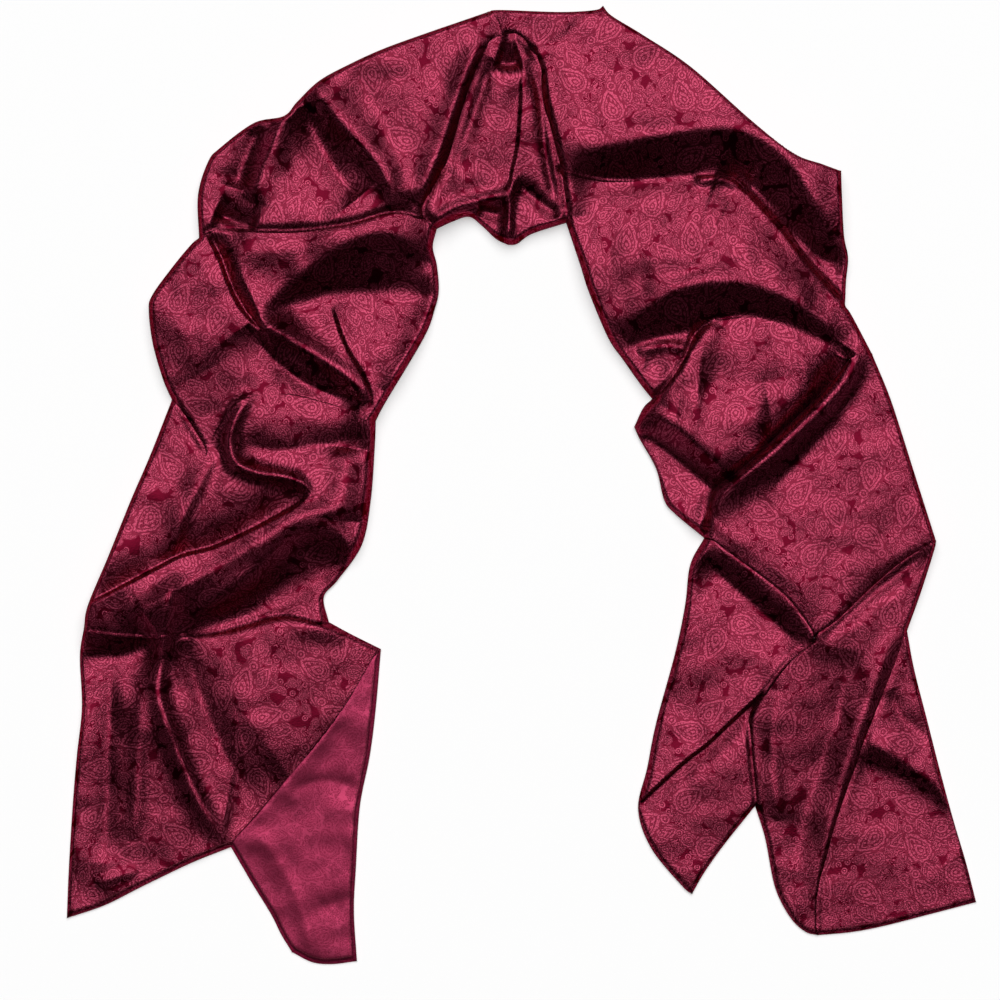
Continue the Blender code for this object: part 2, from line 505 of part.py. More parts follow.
def top_height(name, points):
    """Height of the stretch's upper face over the table at each plan point, in metres."""
    height = base_height(points)
    for fold in folds_of(name):
        path = smooth_path(fold.path, PATH_STEP)
        reach = FOLD_REACH if fold.right > 0 else VALLEY_REACH
        near = near_to(path, points, reach * max(fold.width_left, fold.width_right) * MM)
        if len(near):
            height[near] += fold_height(fold, path, points[near])
    over = height - THINNEST
    height = THINNEST + 0.5 * (over + np.hypot(over, THIN_SOFT))
    for part in shaping_edges(name):
        edge = EDGES[part]
        path = edge_path(part, PATH_STEP)
        near = near_to(path, points, edge.roll * MM)
        if not len(near):
            continue
        gap, along, _ = distance_to(path, points[near])
        share = gap / (edge.roll * MM)
        if edge.kind == "free":
            fall = (height[near] - edge.lip * MM) * (1 - rounding(share))
        elif edge.over == name:
            fall = edge.lip * MM * (1 - rounding(share)) * emerging(part, along)
        else:
            fall = edge.tuck * MM * np.clip(1 - share, 0, 1) ** 2 * emerging(part, along)
        height[near] -= fall
    return np.maximum(height, THINNEST)


def outline(name, step):
    """The stretch's loop, anticlockwise, and the lip at each point of it that lies on the table."""
    loop, lips = [], []
    for part in STRETCHES[name].split("|"):
        path = edge_path(part, step)
        edge = EDGES[part.lstrip("-")]
        lip = edge.lip if edge.kind == "free" else 0.0
        loop += list(path[:-1])
        lips += [0.0] + [lip] * (len(path) - 2)
    return np.array(loop)[::-1], np.array(lips)[::-1]


def side_inset(row, lips):
    """How far in a side row lies at each point of the outline, in metres."""
    folded = np.clip((lips - SINGLE_LIP) / (FOLDED_LIP - SINGLE_LIP), 0, 1)
    return np.where(lips > 0, row.single + (row.folded - row.single) * folded, 0.0) * MM


def inset(loop, amount):
    """The loop with each point moved in by amount, square to both of its sides."""
    before = loop - np.roll(loop, 1, 0)
    after = np.roll(loop, -1, 0) - loop
    sides = [way / np.linalg.norm(way, axis=1)[:, None] for way in (before, after)]
    inward = [np.stack([-way[:, 1], way[:, 0]], 1) for way in sides]
    both = inward[0] + inward[1]
    share = 1 + (inward[0] * inward[1]).sum(1)
    move = both / np.maximum(share, MITRE_LEAST)[:, None]
    return loop + move * np.reshape(amount, (-1, 1))


def crease_points(name):
    """Points along the stretch's folds: one line on a crest or valley, two at a layer edge."""
    lines = [np.empty((0, 2))]
    for fold in FOLDS.values():
        if name not in fold.on.split():
            continue
        path = smooth_path(fold.path, CREASE_STEP)
        way = np.gradient(path, axis=0)
        across = np.stack([-way[:, 1], way[:, 0]], 1) / np.linalg.norm(way, axis=1)[:, None]
        if fold.left == fold.right:
            lines.append(path)
        else:
            lines += [path + across * LAYER_SOFT, path - across * LAYER_SOFT]
    return np.vstack(lines)


def apart(points, others, room):
    """True for each point that is further than room from all the others."""
    if len(others) == 0 or len(points) == 0:
        return np.ones(len(points), bool)
    gaps = np.linalg.norm(points[:, None, :] - others[None], axis=2)
    return gaps.min(1) > room


def inner_points(name, loop):
    """Points inside the loop: its folds, a ring near its edge, then an even field of rows."""
    ring = inset(loop, np.full(len(loop), RING_INSET))
    low, high = loop.min(0), loop.max(0)
    rows = np.arange(low[1], high[1], FIELD_STEP * ROW_SHARE)
    field = []
    for k, y in enumerate(rows):
        shift = 0.5 * FIELD_STEP * (k % 2)
        field += [(x + shift, y) for x in np.arange(low[0], high[0], FIELD_STEP)]
    field = np.array(field)
    closed = np.vstack([loop, loop[:1]])
    creases = crease_points(name)
    kept = np.empty((0, 2))
    for points, room, spacing in ((creases, CREASE_ROOM, LAYER_SOFT),
                                  (ring, RING_ROOM, CREASE_ROOM),
                                  (field, FIELD_ROOM, FIELD_SPACING)):
        gap, _, _ = distance_to(closed, points)
        points = points[(gap > room) & inside(loop, points)]
        if points is not creases:
            points = points[apart(points, kept, spacing)]
        kept = np.vstack([kept, points])
    return kept


def inside(loop, points):
    """Even-odd test of each point against the loop."""
    result = np.zeros(len(points), bool)
    for a, b in zip(loop, np.roll(loop, -1, 0)):
        crosses = (a[1] > points[:, 1]) != (b[1] > points[:, 1])
        rise = b[1] - a[1] if abs(b[1] - a[1]) > 1e-12 else 1e-12
        x = a[0] + (points[:, 1] - a[1]) / rise * (b[0] - a[0])
        result ^= crosses & (points[:, 0] < x)
    return result


def fill(loop, extra):
    """Triangles over the loop and the extra points inside it."""
    points = [Vector(p) for p in loop] + [Vector(p) for p in extra]
    ring = [list(range(len(loop)))]
    verts, _, faces, originals, _, _ = delaunay_2d_cdt(points, [], ring, 1, 1e-7)
    lookup = [min(ids) for ids in originals]
    return [[lookup[k] for k in face] for face in faces]


def make_stretch(name, material):
    loop, lips = outline(name, OUTLINE_STEP)
    loop = inset(loop, np.full(len(loop), SEAM_GAP))
    rows = [inset(loop, side_inset(row, lips)) for row in SIDE_ROWS]
    rim = top_height(name, rows[-1])
    extra = inner_points(name, rows[-1])
    verts = []
    for ring, row in zip(rows, SIDE_ROWS):
        verts += [(x, y, z) for (x, y), z in zip(ring, rim * row.share)]
    top_start = len(verts) - len(loop)
    verts += [(x, y, z) for (x, y), z in zip(extra, top_height(name, extra))]
    count = len(loop)
    faces = [[top_start + k for k in face] for face in fill(rows[-1], extra)]
    faces += [face[::-1] for face in fill(rows[0], [])]
    for level in range(len(rows) - 1):
        for k in range(count):
            a, b = level * count + k, level * count + (k + 1) % count
            faces.append([a, b, b + count, a + count])
    mesh = bpy.data.meshes.new(name)
    mesh.from_pydata(verts, [], faces)
    mesh.materials.append(material)
    mesh.shade_smooth()
    mesh.set_sharp_from_angle(angle=0.9)
    piece = bpy.data.objects.new(name, mesh)
    bpy.context.collection.objects.link(piece)
    return piece


def main():
    clear_scene()
    face = cloth_material("satin_face", FACE_RED, 0.42)
    reverse = cloth_material("satin_reverse", REVERSE_RED, 0.5)
    for name in STRETCHES:
        make_stretch(name, reverse if name == "left_flap" else face)


main()
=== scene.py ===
"""The looks of a satin jacquard scarf that lies in an arch on a table."""

import math
from collections import namedtuple

import bpy
import numpy as np
from bpy.props import FloatProperty, FloatVectorProperty, PointerProperty
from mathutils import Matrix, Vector
from mathutils.geometry import delaunay_2d_cdt


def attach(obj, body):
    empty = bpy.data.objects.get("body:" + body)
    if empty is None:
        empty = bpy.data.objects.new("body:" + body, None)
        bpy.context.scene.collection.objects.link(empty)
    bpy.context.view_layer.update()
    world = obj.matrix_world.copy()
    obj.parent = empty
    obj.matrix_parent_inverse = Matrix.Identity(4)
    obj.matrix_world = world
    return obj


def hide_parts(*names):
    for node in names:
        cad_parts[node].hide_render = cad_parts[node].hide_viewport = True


bl_info = {
    "name": "Laid satin scarf",
    "version": (1, 0, 0),
    "blender": (4, 5, 0),
    "location": "View3D > Sidebar > Scarf",
    "description": "Builds the cloth, hems and studio of a satin scarf laid in an arch",
    "category": "Object",
}

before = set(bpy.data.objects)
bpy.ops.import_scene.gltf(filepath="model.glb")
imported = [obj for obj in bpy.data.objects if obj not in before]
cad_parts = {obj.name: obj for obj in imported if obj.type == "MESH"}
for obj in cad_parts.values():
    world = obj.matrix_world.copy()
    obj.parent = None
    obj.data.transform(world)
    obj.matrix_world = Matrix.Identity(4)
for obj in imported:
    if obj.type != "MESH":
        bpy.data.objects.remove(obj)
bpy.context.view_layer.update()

# Driving sizes, in metres
CUT_WIDTH = 0.70
PLAN_SPAN_OF_CUT = 738.0
UNIT = CUT_WIDTH / PLAN_SPAN_OF_CUT
MM = 0.001
# The heap's least height, and how softly valleys level out above it
THINNEST = 2.0 * MM
THIN_SOFT = 4.0 * MM
# How far each base height is felt, in plan units, and how fast it fades
BASE_REACH = 62.0
BASE_FADE = 2.0
CURVE_STEPS = 12
PATH_STEP = 5 * MM
CLOTH_STEP = 1.62 * MM
# Rows of the cloth's mesh: their spacing and their distance from the rim, in steps
ROW_SHARE = 0.866
RIM_ROOM = 0.55
# Least share of a mitre's length, and how far inside the rim its pattern is read
MITRE_LEAST = 0.15
RIM_SAMPLE = 0.1 * MM
FAR = 1e9
TINY = 1e-9

# The plan drawing: x runs right and y runs down, in plan units
PLAN_MIDDLE_X = 521.5
PLAN_MIDDLE_Y = 485.0

# Section of a fold: how fast it falls, how many widths it reaches and how round its line is
FOLD_POWER = 1.5
VALLEY_POWER = 1.15
FOLD_REACH = 3.2
VALLEY_REACH = 5.2
CREST_ROUND = 1.2 * MM
VALLEY_ROUND = 2.6 * MM
# Part of a fold's length over which an end dies away, and the softness of a layer's step
FADE_SHARE = 0.22
LAYER_SOFT = 1.6 * MM
# How much a fold and an edge draw the pattern in, and up to how many widths from the fold
DRAW_IN = 0.62
DRAW_NEAR = 1.3
EDGE_DRAW = 0.6
EDGE_POWER = 2.4

# Slight waves all over the cloth: length and height in millimetres, and turn in radians; and
# how far each wanders, over how many of its lengths, and from where
RIPPLES = [(71, 0.42, 0.35), (53, 0.34, 1.45), (37, 0.22, 2.35), (29, 0.15, 0.9), (21, 0.08, 2.9)]
RIPPLE_WANDER = 1.9
WANDER_LENGTHS = 2.3
WANDER_START = 7

# Corners where edges meet, in plan units
CORNERS = {
    "left tip": (67, 918), "left hem": (84, 628), "bulge foot": (172, 400),
    "bulge head": (199, 238), "crown left": (488, 12), "peak": (603, 6),
    "right point": (841, 171), "arch right": (845, 306), "knee top": (872, 354),
    "knee right": (936, 541), "end right": (907, 631), "right tip": (976, 902),
    "end foot": (818, 935), "tail joint": (755, 806), "tail tip": (692, 894),
    "knee left": (704, 538), "tent tip": (634, 427), "tent joint": (652, 399),
    "crown foot": (566, 223), "crown tip": (508, 245), "crown joint": (437, 229),
    "leg right": (376, 421), "pocket end": (329, 622), "flap top": (381, 649),
    "flap tip": (357, 961), "flap joint": (231, 847), "leg inner": (208, 456),
    "pocket tip": (176, 634),
    "gap top": (502, 38), "crown top": (531, 52), "arch left": (560, 172),
    "arch middle": (690, 176), "tent top": (713, 320), "ridge top": (848, 360),
    "cross": (813, 638), "flap foot": (292, 952),
}

# Edges of the stretches.  lip is the height of the cloth's edge and roll the width of its
# rounding, in millimetres.  via is the way between its corners, as x,y pairs in plan units.
# over names the stretch on top, whose edge drops by lip; tuck is how far the lower one dips.
# An edge with no roll joins two stretches smoothly, and one with nothing over lies free.
# An edge in EMERGING grows out of smooth cloth at its start, or at its end with a minus sign.
Edge = namedtuple("Edge", "start end lip roll via over tuck", defaults=("", 0))
EDGES = {
    "left selvedge": Edge("left tip", "left hem", 3, 5, "69,868 73,803 77,755 82,707 80,656"),
    "leg selvedge": Edge("left hem", "bulge foot", 3, 6, "88,605 108,557 131,500 150,456"),
    "bulge side": Edge("bulge foot", "bulge head", 5, 7,
        "163,379 153,344 149,312 152,296 172,268 191,245"),
    "shoulder side": Edge("bulge head", "crown left", 4, 7,
        "198,195 208,162 220,148 254,123 284,116 297,102 319,81 348,65 383,49 427,33 459,22"),
    "crown back": Edge("crown left", "peak", 3.5, 5, "500,10 560,12 595,10"),
    "shoulder back": Edge("peak", "right point", 3.5, 5,
        "612,16 643,35 691,67 752,121 793,153 822,164"),
    "arch side": Edge("right point", "arch right", 4.5, 6, "842,198 844,236 848,258 846,281"),
    "middle side": Edge("arch right", "knee top", 4, 7, "852,316"),
    "knee side": Edge("knee top", "knee right", 4, 6, "889,395 902,434 914,472 929,519"),
    "end side": Edge("knee right", "end right", 3.5, 6, "934,551 921,592"),
    "corner side": Edge("end right", "right tip", 3, 5, "914,669 927,720 940,771 953,819 966,863"),
    "corner hem": Edge("right tip", "end foot", 2.5, 6, "930,914 883,926 851,932"),
    "end fold": Edge("end foot", "tail joint", 3, 7, "806,932 793,921 781,902 773,880 765,838"),
    "tail hem": Edge("tail joint", "tail tip", 3.5, 6, "723,846 704,873"),
    "tail side": Edge("tail tip", "knee left", 3.5, 7,
        "682,886 651,848 638,809 647,768 656,723 675,653 685,605 690,565"),
    "tent foot": Edge("knee left", "tent tip", 4.5, 7, "675,514 664,500 656,469 640,440"),
    "tent corner": Edge("tent tip", "tent joint", 4.5, 9, "643,408"),
    "arch inner": Edge("tent joint", "crown foot", 4.5, 7,
        "640,384 623,360 608,338 589,293 580,265"),
    "crown hem": Edge("crown foot", "crown tip", 3, 6, "532,234 517,244"),
    "crown fold": Edge("crown tip", "crown joint", 3, 5, "496,239 482,226 469,217 452,222"),
    "bulge inner": Edge("crown joint", "leg right", 4.5, 7,
        "433,247 437,265 439,290 435,309 424,338 386,402"),
    "leg inner side": Edge("leg right", "pocket end", 4, 8,
        "375,446 371,500 362,545 338,580 324,597"),
    "front top": Edge("pocket end", "flap top", 3, 8, "351,634"),
    "flap side": Edge("flap top", "flap tip", 2, 6, "376,707 370,755 360,806 356,867 354,911"),
    "flap hem": Edge("flap tip", "flap foot", 2, 8, "332,964 312,962"),
    "flap selvedge": Edge("flap foot", "flap joint", 2, 6, "281,934 271,914 252,883"),
    "front hem": Edge("flap joint", "left tip", 3, 7, "191,863 143,886 105,905"),
    "hem over flap": Edge("flap top", "flap joint", 1.2, 4,
        "351,701 319,745 287,784 255,822", "left_front"),
    "front join": Edge("left hem", "pocket tip", 0, 0, "130,633"),
    "front lip": Edge("pocket tip", "pocket end", 6, 9, "212,631 243,623 284,613", "left_front"),
    "bulge hem": Edge("bulge foot", "leg inner", 6, 8, "192,429", "left_bulge", 3),
    "leg seam": Edge("leg inner", "leg right", 0, 0, "222,430 245,404 285,398 330,408"),
    "shoulder seam": Edge("bulge head", "crown joint", 4, 7,
        "215,229 250,230 300,230 350,224 388,213 414,215", "left_bulge", 3),
    "gap ridge": Edge("gap top", "crown joint", 8, 10,
        "486,51 472,82 462,112 447,163 431,194 425,214", "left_shoulder", 4),
    "crown seam": Edge("crown left", "gap top", 0, 0, "495,24"),
    "crown lip": Edge("gap top", "crown top", 7, 8, "516,39", "right_shoulder", 2),
    "crown ridge": Edge("crown top", "arch left", 7, 8,
        "540,72 543,102 553,145", "right_shoulder", 3),
    "crown inner": Edge("arch left", "crown foot", 6, 8, "564,204", "right_middle", 3),
    "arch seam": Edge("arch left", "arch middle", 0, 0, "571,173 608,179 656,179"),
    "arch lip": Edge("arch middle", "arch right", 4, 6,
        "728,177 744,189 780,227 799,252 822,279", "right_middle", 6),
    "tent lip": Edge("tent top", "tent joint", 7, 7, "694,333 682,359 667,382", "right_tent", 5),
    "tent seam": Edge("tent top", "ridge top", 0, 0, "742,316 780,325 815,340"),
    "knee seam": Edge("ridge top", "knee top", 0, 0, ""),
    "ridge crease": Edge("ridge top", "knee left", 6, 8,
        "828,385 800,414 772,440 752,459 733,475 713,492", "right_knee", 6),
    "knee lip left": Edge("knee left", "cross", 9, 4, "728,555 772,588 793,609", "right_knee"),
    "knee lip right": Edge("knee right", "cross", 7, 4, "902,562 869,590 837,620", "right_knee"),
    "end lip": Edge("cross", "tail joint", 5, 5, "780,666 751,711 749,744", "right_end", 2),
    "end ridge": Edge("end right", "end foot", 4, 5,
        "897,660 881,700 861,750 847,787 833,829 820,885", "right_end", 1),
}

EMERGING = ("front lip", "-shoulder seam", "-bulge hem", "gap ridge", "crown lip", "arch lip",
            "tent lip", "ridge crease")
EMERGING_REACH = 0.2

# Stretches of cloth: the edges round each one clockwise in plan, a minus sign where an edge
# runs backwards
STRETCHES = {
    "left_flap": "flap side|flap hem|flap selvedge|-hem over flap",
    "left_front": "left selvedge|front join|front lip|front top|hem over flap|front hem",
    "left_leg": "leg selvedge|bulge hem|leg seam|leg inner side|-front lip|-front join",
    "left_bulge": "bulge side|shoulder seam|bulge inner|-leg seam|-bulge hem",
    "left_shoulder": "shoulder side|crown seam|gap ridge|-shoulder seam",
    "crown_inner": "crown lip|crown ridge|crown inner|crown hem|crown fold|-gap ridge",
    "right_shoulder": "crown back|shoulder back|arch side|-arch lip|-arch seam"
                      "|-crown ridge|-crown lip|-crown seam",
    "right_middle": "arch seam|arch lip|middle side|-knee seam|-tent seam|tent lip"
                    "|arch inner|-crown inner",
    "right_tent": "tent seam|ridge crease|tent foot|tent corner|-tent lip",
    "right_knee": "knee seam|knee side|knee lip right|-knee lip left|-ridge crease",
    "right_tail": "knee lip left|end lip|tail hem|tail side",
    "right_end": "end side|end ridge|end fold|-end lip|-knee lip right",
    "right_corner": "corner side|corner hem|-end ridge",
}

# Height of the heap where no fold crosses it, as x,y,height: plan units and millimetres
BASE = (
    "75,910,4 150,880,6 225,835,7 90,820,9 180,790,8 260,760,18 330,690,9 370,655,5 90,740,13 "
    "150,700,16 230,670,16 300,640,13 116,588,30 150,500,17 180,430,12 240,540,24 320,500,22 "
    "360,480,16 345,570,15 290,440,26 350,400,26 165,320,18 220,330,28 280,300,30 340,340,17 "
    "420,270,20 400,350,17 300,240,30 220,180,18 300,160,26 400,60,26 350,108,27 430,130,30 "
    "400,200,27 460,60,26 480,150,17 500,220,12 545,200,18 560,40,16 640,70,18 600,120,25 "
    "720,120,20 820,190,23 600,205,19 700,205,21 780,260,23 840,290,18 620,320,20 680,275,30 "
    "770,300,27 855,340,18 650,410,16 700,390,25 780,370,27 670,480,10 740,430,26 700,520,18 "
    "880,410,19 810,470,21 860,500,21 915,535,20 790,560,23 820,610,24 690,600,12 750,650,13 "
    "670,720,9 730,740,9 660,820,7 700,860,5 830,690,15 900,600,13 800,790,9 860,710,11 815,880,6 "
    "800,925,4 925,700,6 905,820,5 950,870,3 860,920,3 300,800,5 345,740,5 345,820,6 300,870,5 "
    "335,890,6 320,940,5 350,950,4 620,265,27 300,700,17 268,818,8 360,238,35 320,600,14 "
    "192,382,17 500,110,19 530,135,20")

# Folds.  left and right are the heights on each side of the line as it is walked, the same for
# a ridge or a valley and of opposite sign at a layer edge; width_left and width_right are how
# far each side spreads; all in millimetres.  on names its stretches, path is its line as x,y
# pairs in plan units, and fade tells which ends die away.
Fold = namedtuple("Fold", "left right width_left width_right on path fade",
                  defaults=("both",))
FOLDS = {
    "front ridge": Fold(9, 9, 8, 12, "left_front left_leg",
        "178,570 166,640 160,690 175,740 200,800 226,842"),
    "front valley": Fold(-9, -9, 26, 15, "left_front", "186,640 200,690 222,745 252,795 268,822"),
    "front hollow": Fold(-16, -16, 24, 24, "left_front left_leg", "66,650 98,655 132,653 162,638"),
    "front streak": Fold(-6, -6, 10, 11, "left_front", "112,664 110,720 108,790 104,862"),
    "front lip crest": Fold(4, 4, 8, 16, "left_front", "186,640 240,632 290,622 345,640"),
    "leg crease": Fold(-13, 2, 20, 14, "left_leg",
        "86,606 121,588 151,572 182,556 212,548 236,538 264,524 296,506 314,492"),
    "leg band": Fold(9, 9, 12, 14, "left_leg left_front",
        "120,622 182,588 222,566 263,541 300,518 345,512"),
    "pocket": Fold(-15, -15, 32, 16, "left_leg", "188,636 236,620 272,603 304,585 334,566 354,556"),
    "pocket rim": Fold(7, 7, 14, 14, "left_leg",
        "176,630 202,609 233,586 263,562 284,541 304,529 325,529 345,539 358,554"),
    "curl": Fold(10, 10, 6, 6, "left_leg left_bulge",
        "255,392 238,416 231,441 236,461 256,472 285,477 303,484 312,500"),
    "curl hollow": Fold(-9, -9, 16, 20, "left_leg", "240,446 280,450 330,445 372,436"),
    "leg line": Fold(6, 6, 7, 16, "left_leg", "218,450 200,485 184,516 170,562"),
    "leg flank": Fold(8, 8, 18, 20, "left_leg", "350,448 346,480 342,520"),
    "lobe valley": Fold(-13, -3, 18, 9, "left_bulge", "206,232 220,258 230,285 243,310 264,334"),
    "flap valley": Fold(-12, -12, 9, 24, "left_bulge", "248,326 272,358 303,383 332,396 362,403"),
    "flap crest": Fold(10, 10, 12, 8, "left_bulge", "254,317 300,345 345,374 370,402"),
    "loop pocket": Fold(-20, -20, 44, 34, "left_bulge",
        "262,318 298,303 335,293 380,292 434,296", "start"),
    "loop rim": Fold(8, 8, 16, 13, "left_bulge",
        "252,320 290,284 320,261 350,243 385,234 412,243 430,266"),
    "loop edge": Fold(-4, 3, 14, 10, "left_bulge", "332,306 346,345 366,380 374,408"),
    "loop roll": Fold(8, 8, 9, 13, "left_bulge", "434,262 433,300 419,338 390,394"),
    "bulge swell": Fold(2.5, 2.5, 24, 30, "left_bulge", "180,275 180,325 205,372"),
    "bulge brow": Fold(2, 2, 8, 10, "left_bulge", "222,250 290,252 350,232"),
    "shoulder hook": Fold(12, 12, 18, 11, "left_shoulder",
        "314,84 322,98 334,115 356,139 378,163 392,188 398,212"),
    "shoulder hollow": Fold(-12, -12, 24, 22, "left_shoulder", "306,108 318,138 334,168 360,200"),
    "cup rim": Fold(8, 8, 14, 7, "left_shoulder", "300,104 288,122 276,145 263,175 253,204"),
    "cup": Fold(-9, -9, 10, 16, "left_shoulder", "262,128 246,160 236,190"),
    "gap crest": Fold(11, 11, 8, 15, "left_shoulder", "486,42 468,78 453,118 438,158 420,206"),
    "recess": Fold(-6, -6, 8, 8, "crown_inner", "492,60 476,108 452,176"),
    "crown slot": Fold(-5, -5, 3, 4, "crown_inner", "529,60 538,92 543,133 549,173 557,206"),
    "crown pleat": Fold(6, 6, 6, 5, "crown_inner", "430,224 456,209 484,201 512,194"),
    "crown crest": Fold(6, 6, 18, 8, "right_shoulder right_middle",
        "543,56 552,105 566,155 577,218"),
    "arch valley": Fold(-12, -12, 13, 24, "right_shoulder right_middle",
        "560,179 600,181 640,181 690,176 722,174 752,186"),
    "arch brow": Fold(11, 11, 24, 16, "right_shoulder",
        "566,154 600,148 655,137 700,130 750,136 787,162 813,200 838,238"),
    "peak crease": Fold(-1.4, -1.4, 6, 6, "right_shoulder", "604,9 584,20 564,39 540,52"),
    "middle swell": Fold(5, 5, 34, 20, "right_middle", "610,262 690,258 770,268 815,300"),
    "second valley": Fold(-10, -10, 13, 22, "right_middle right_tent",
        "614,352 650,342 690,331 713,322 745,317 782,324 815,338 846,354"),
    "second brow": Fold(9, 9, 16, 14, "right_middle",
        "618,334 642,310 672,292 705,284 745,286 795,304 846,340"),
    "small tent": Fold(4, 4, 5, 5, "right_middle", "636,352 664,346 692,350"),
    "small hollow": Fold(-2, -2, 7, 8, "right_middle", "644,364 664,368 682,366"),
    "pinch": Fold(-1.5, -1.5, 6, 6, "right_middle", "667,284 694,270 744,254"),
    "tent crest": Fold(6, 6, 18, 6, "right_tent", "716,322 700,341 686,361 672,383 658,404"),
    "tent valley": Fold(-14, -14, 8, 28, "right_tent", "632,432 656,446 684,468 706,486 720,497"),
    "tent brow": Fold(8, 8, 16, 9, "right_tent", "648,408 676,426 704,451 730,474"),
    "long groove": Fold(-14, -14, 8, 14, "right_tent", "850,350 832,378 812,404 790,432 766,460"),
    "long ridge": Fold(10, 10, 12, 10, "right_knee",
        "856,346 848,374 826,403 797,431 765,459 735,482 708,512"),
    "knee hollow": Fold(-4, -4, 20, 8, "right_knee",
        "872,354 852,394 830,424 808,450 788,472 766,496"),
    "knee ridge left": Fold(2, 2, 18, 9, "right_knee", "704,518 742,545 782,574 802,592 814,616"),
    "knee ridge right": Fold(2, 2, 9, 16, "right_knee", "932,534 900,551 868,577 838,605 816,628"),
    "tail hollow": Fold(-10, -10, 10, 20, "right_tail", "700,558 734,588 766,614 802,648"),
    "tail fold": Fold(-10, 6, 10, 17, "right_tail",
        "812,648 790,668 751,703 726,726 707,744 684,762 642,800", "start"),
    "end crest": Fold(6, 6, 9, 13, "right_end", "900,630 884,655 866,702 846,760 829,828 812,900"),
    "end valley": Fold(-4, -4, 12, 14, "right_end", "846,648 840,700 824,752 806,806 792,870"),
    "end brow": Fold(4, 4, 10, 10, "right_end", "776,690 772,745 778,820"),
    "end hollow": Fold(-6, -6, 6, 13, "right_end", "934,549 902,570 870,595 840,622 820,640"),
    "corner band": Fold(-10, -10, 12, 20, "right_corner",
        "852,757 880,779 908,800 932,815 962,850"),
    "corner brow": Fold(6, 6, 14, 9, "right_corner", "866,738 905,764 935,784 955,808"),
    "corner nick": Fold(-3, -3, 7, 8, "right_corner", "888,690 903,718 934,742"),
    "flap dip": Fold(-1.8, -1.8, 8, 8, "left_flap", "288,792 322,780 362,788"),
    "flap fold": Fold(1.5, 1.5, 5, 8, "left_flap", "258,826 285,872 303,912 318,958"),
    "flap low dip": Fold(-1.4, -1.4, 7, 7, "left_flap", "318,908 354,896"),
    "shoulder valley": Fold(-4, -4, 18, 16, "left_shoulder", "352,64 374,110 398,160 408,192"),
    "seam pocket": Fold(-12, -12, 10, 6, "left_shoulder", "216,214 236,222 258,228"),
    "lip crest": Fold(3, 3, 6, 7, "right_middle",
        "690,190 706,182 724,181 748,194 774,222 795,248 816,270"),
    "lip crescent": Fold(4, 4, 6, 4, "right_middle", "694,182 718,179 742,186"),
    "tent swell": Fold(5, 5, 30, 26, "right_tent", "676,412 720,418 768,412"),
    "front sink": Fold(-5, -5, 34, 16, "left_front", "226,812 262,816 300,790"),
    "front side": Fold(4, 4, 8, 9, "left_front", "142,690 140,760 134,840"),
    "arch gully": Fold(-15, -15, 14, 26, "right_shoulder right_middle",
        "716,172 746,184 773,214 797,242 822,262 848,262"),
    "tent sink": Fold(-6, -6, 30, 24, "right_tent", "698,380 750,384 802,370"),
    "crown cavity": Fold(-12, -12, 13, 5, "crown_inner", "496,62 508,65 521,62"),
    "crown line": Fold(2.4, -2.4, 12, 12, "crown_inner", "521,76 520,110 517,148 511,176 510,196"),
    "crown tip ridge": Fold(6, 6, 4, 6, "crown_inner", "513,180 509,210 508,242"),
    "crown pocket": Fold(-8, -8, 4, 7, "crown_inner", "478,209 494,214 508,214"),
    "crown tuck": Fold(-6, -6, 5, 8, "crown_inner", "515,183 536,200 560,218"),
    "front pinch": Fold(2.5, 2.5, 4, 5, "left_front", "96,884 116,876 140,870"),
}

# How the woven pattern lies on each stretch: its turn in degrees, and its start in metres.
# Stretches that run on into each other share a row.
Lay = namedtuple("Lay", "turn start_u start_v on")
LAYS = [
    Lay(24, 1.0, 1.0, "left_front left_leg left_bulge"), Lay(-8, 3.0, 1.0, "left_flap"),
    Lay(-38, 5.0, 1.0, "left_shoulder right_shoulder right_middle right_tent right_knee"),
    Lay(-10, 7.0, 1.0, "crown_inner"), Lay(18, 9.0, 1.0, "right_tail"),
    Lay(8, 11.0, 1.0, "right_end"), Lay(10, 13.0, 1.0, "right_corner"),
]

# The cloth's side where it lies on the table, from its upper edge down: how far in for a single
# edge and for a folded one, in millimetres, and how high, as a part of the edge's height
SideRow = namedtuple("SideRow", "single folded share")
FREE_ROWS = [SideRow(1.2, 1.7, 1.0), SideRow(0.3, 0.0, 0.74), SideRow(0.0, 2.2, 0.50),
             SideRow(0.0, 0.2, 0.26), SideRow(0.9, 1.6, 0.04), SideRow(3.0, 4.0, 0.03)]
SINGLE_LIP = 3.0
FOLDED_LIP = 6.0
# The same where the stretch lies over another: how far in, in millimetres, and how far down
LipRow = namedtuple("LipRow", "inward down")
OVER_ROWS = [LipRow(0.9, 0.0), LipRow(0.1, 0.25), LipRow(-0.3, 0.6), LipRow(0.5, 0.95),
             LipRow(1.6, 1.15), LipRow(2.6, 1.3)]
# and where it runs on under another: how far out, in millimetres, and how far down
UNDER_ROWS = [LipRow(0.0, 0.0), LipRow(-0.8, 0.0), LipRow(-1.6, 0.1), LipRow(-2.4, 0.2),
              LipRow(-3.2, 0.5), LipRow(-4.0, 1.2)]
LEAST_STEP_DOWN = 1.2 * MM
LOWEST_ROW = 0.75 * MM
CORNER_SHARE = 0.35


def length_setting(name, description, default):
    return FloatProperty(name=name, description=description, default=default, unit="LENGTH")


def colour_setting(name, description, default):
    return FloatVectorProperty(name=name, description=description, subtype="COLOR", size=4,
                               default=(*default, 1.0))


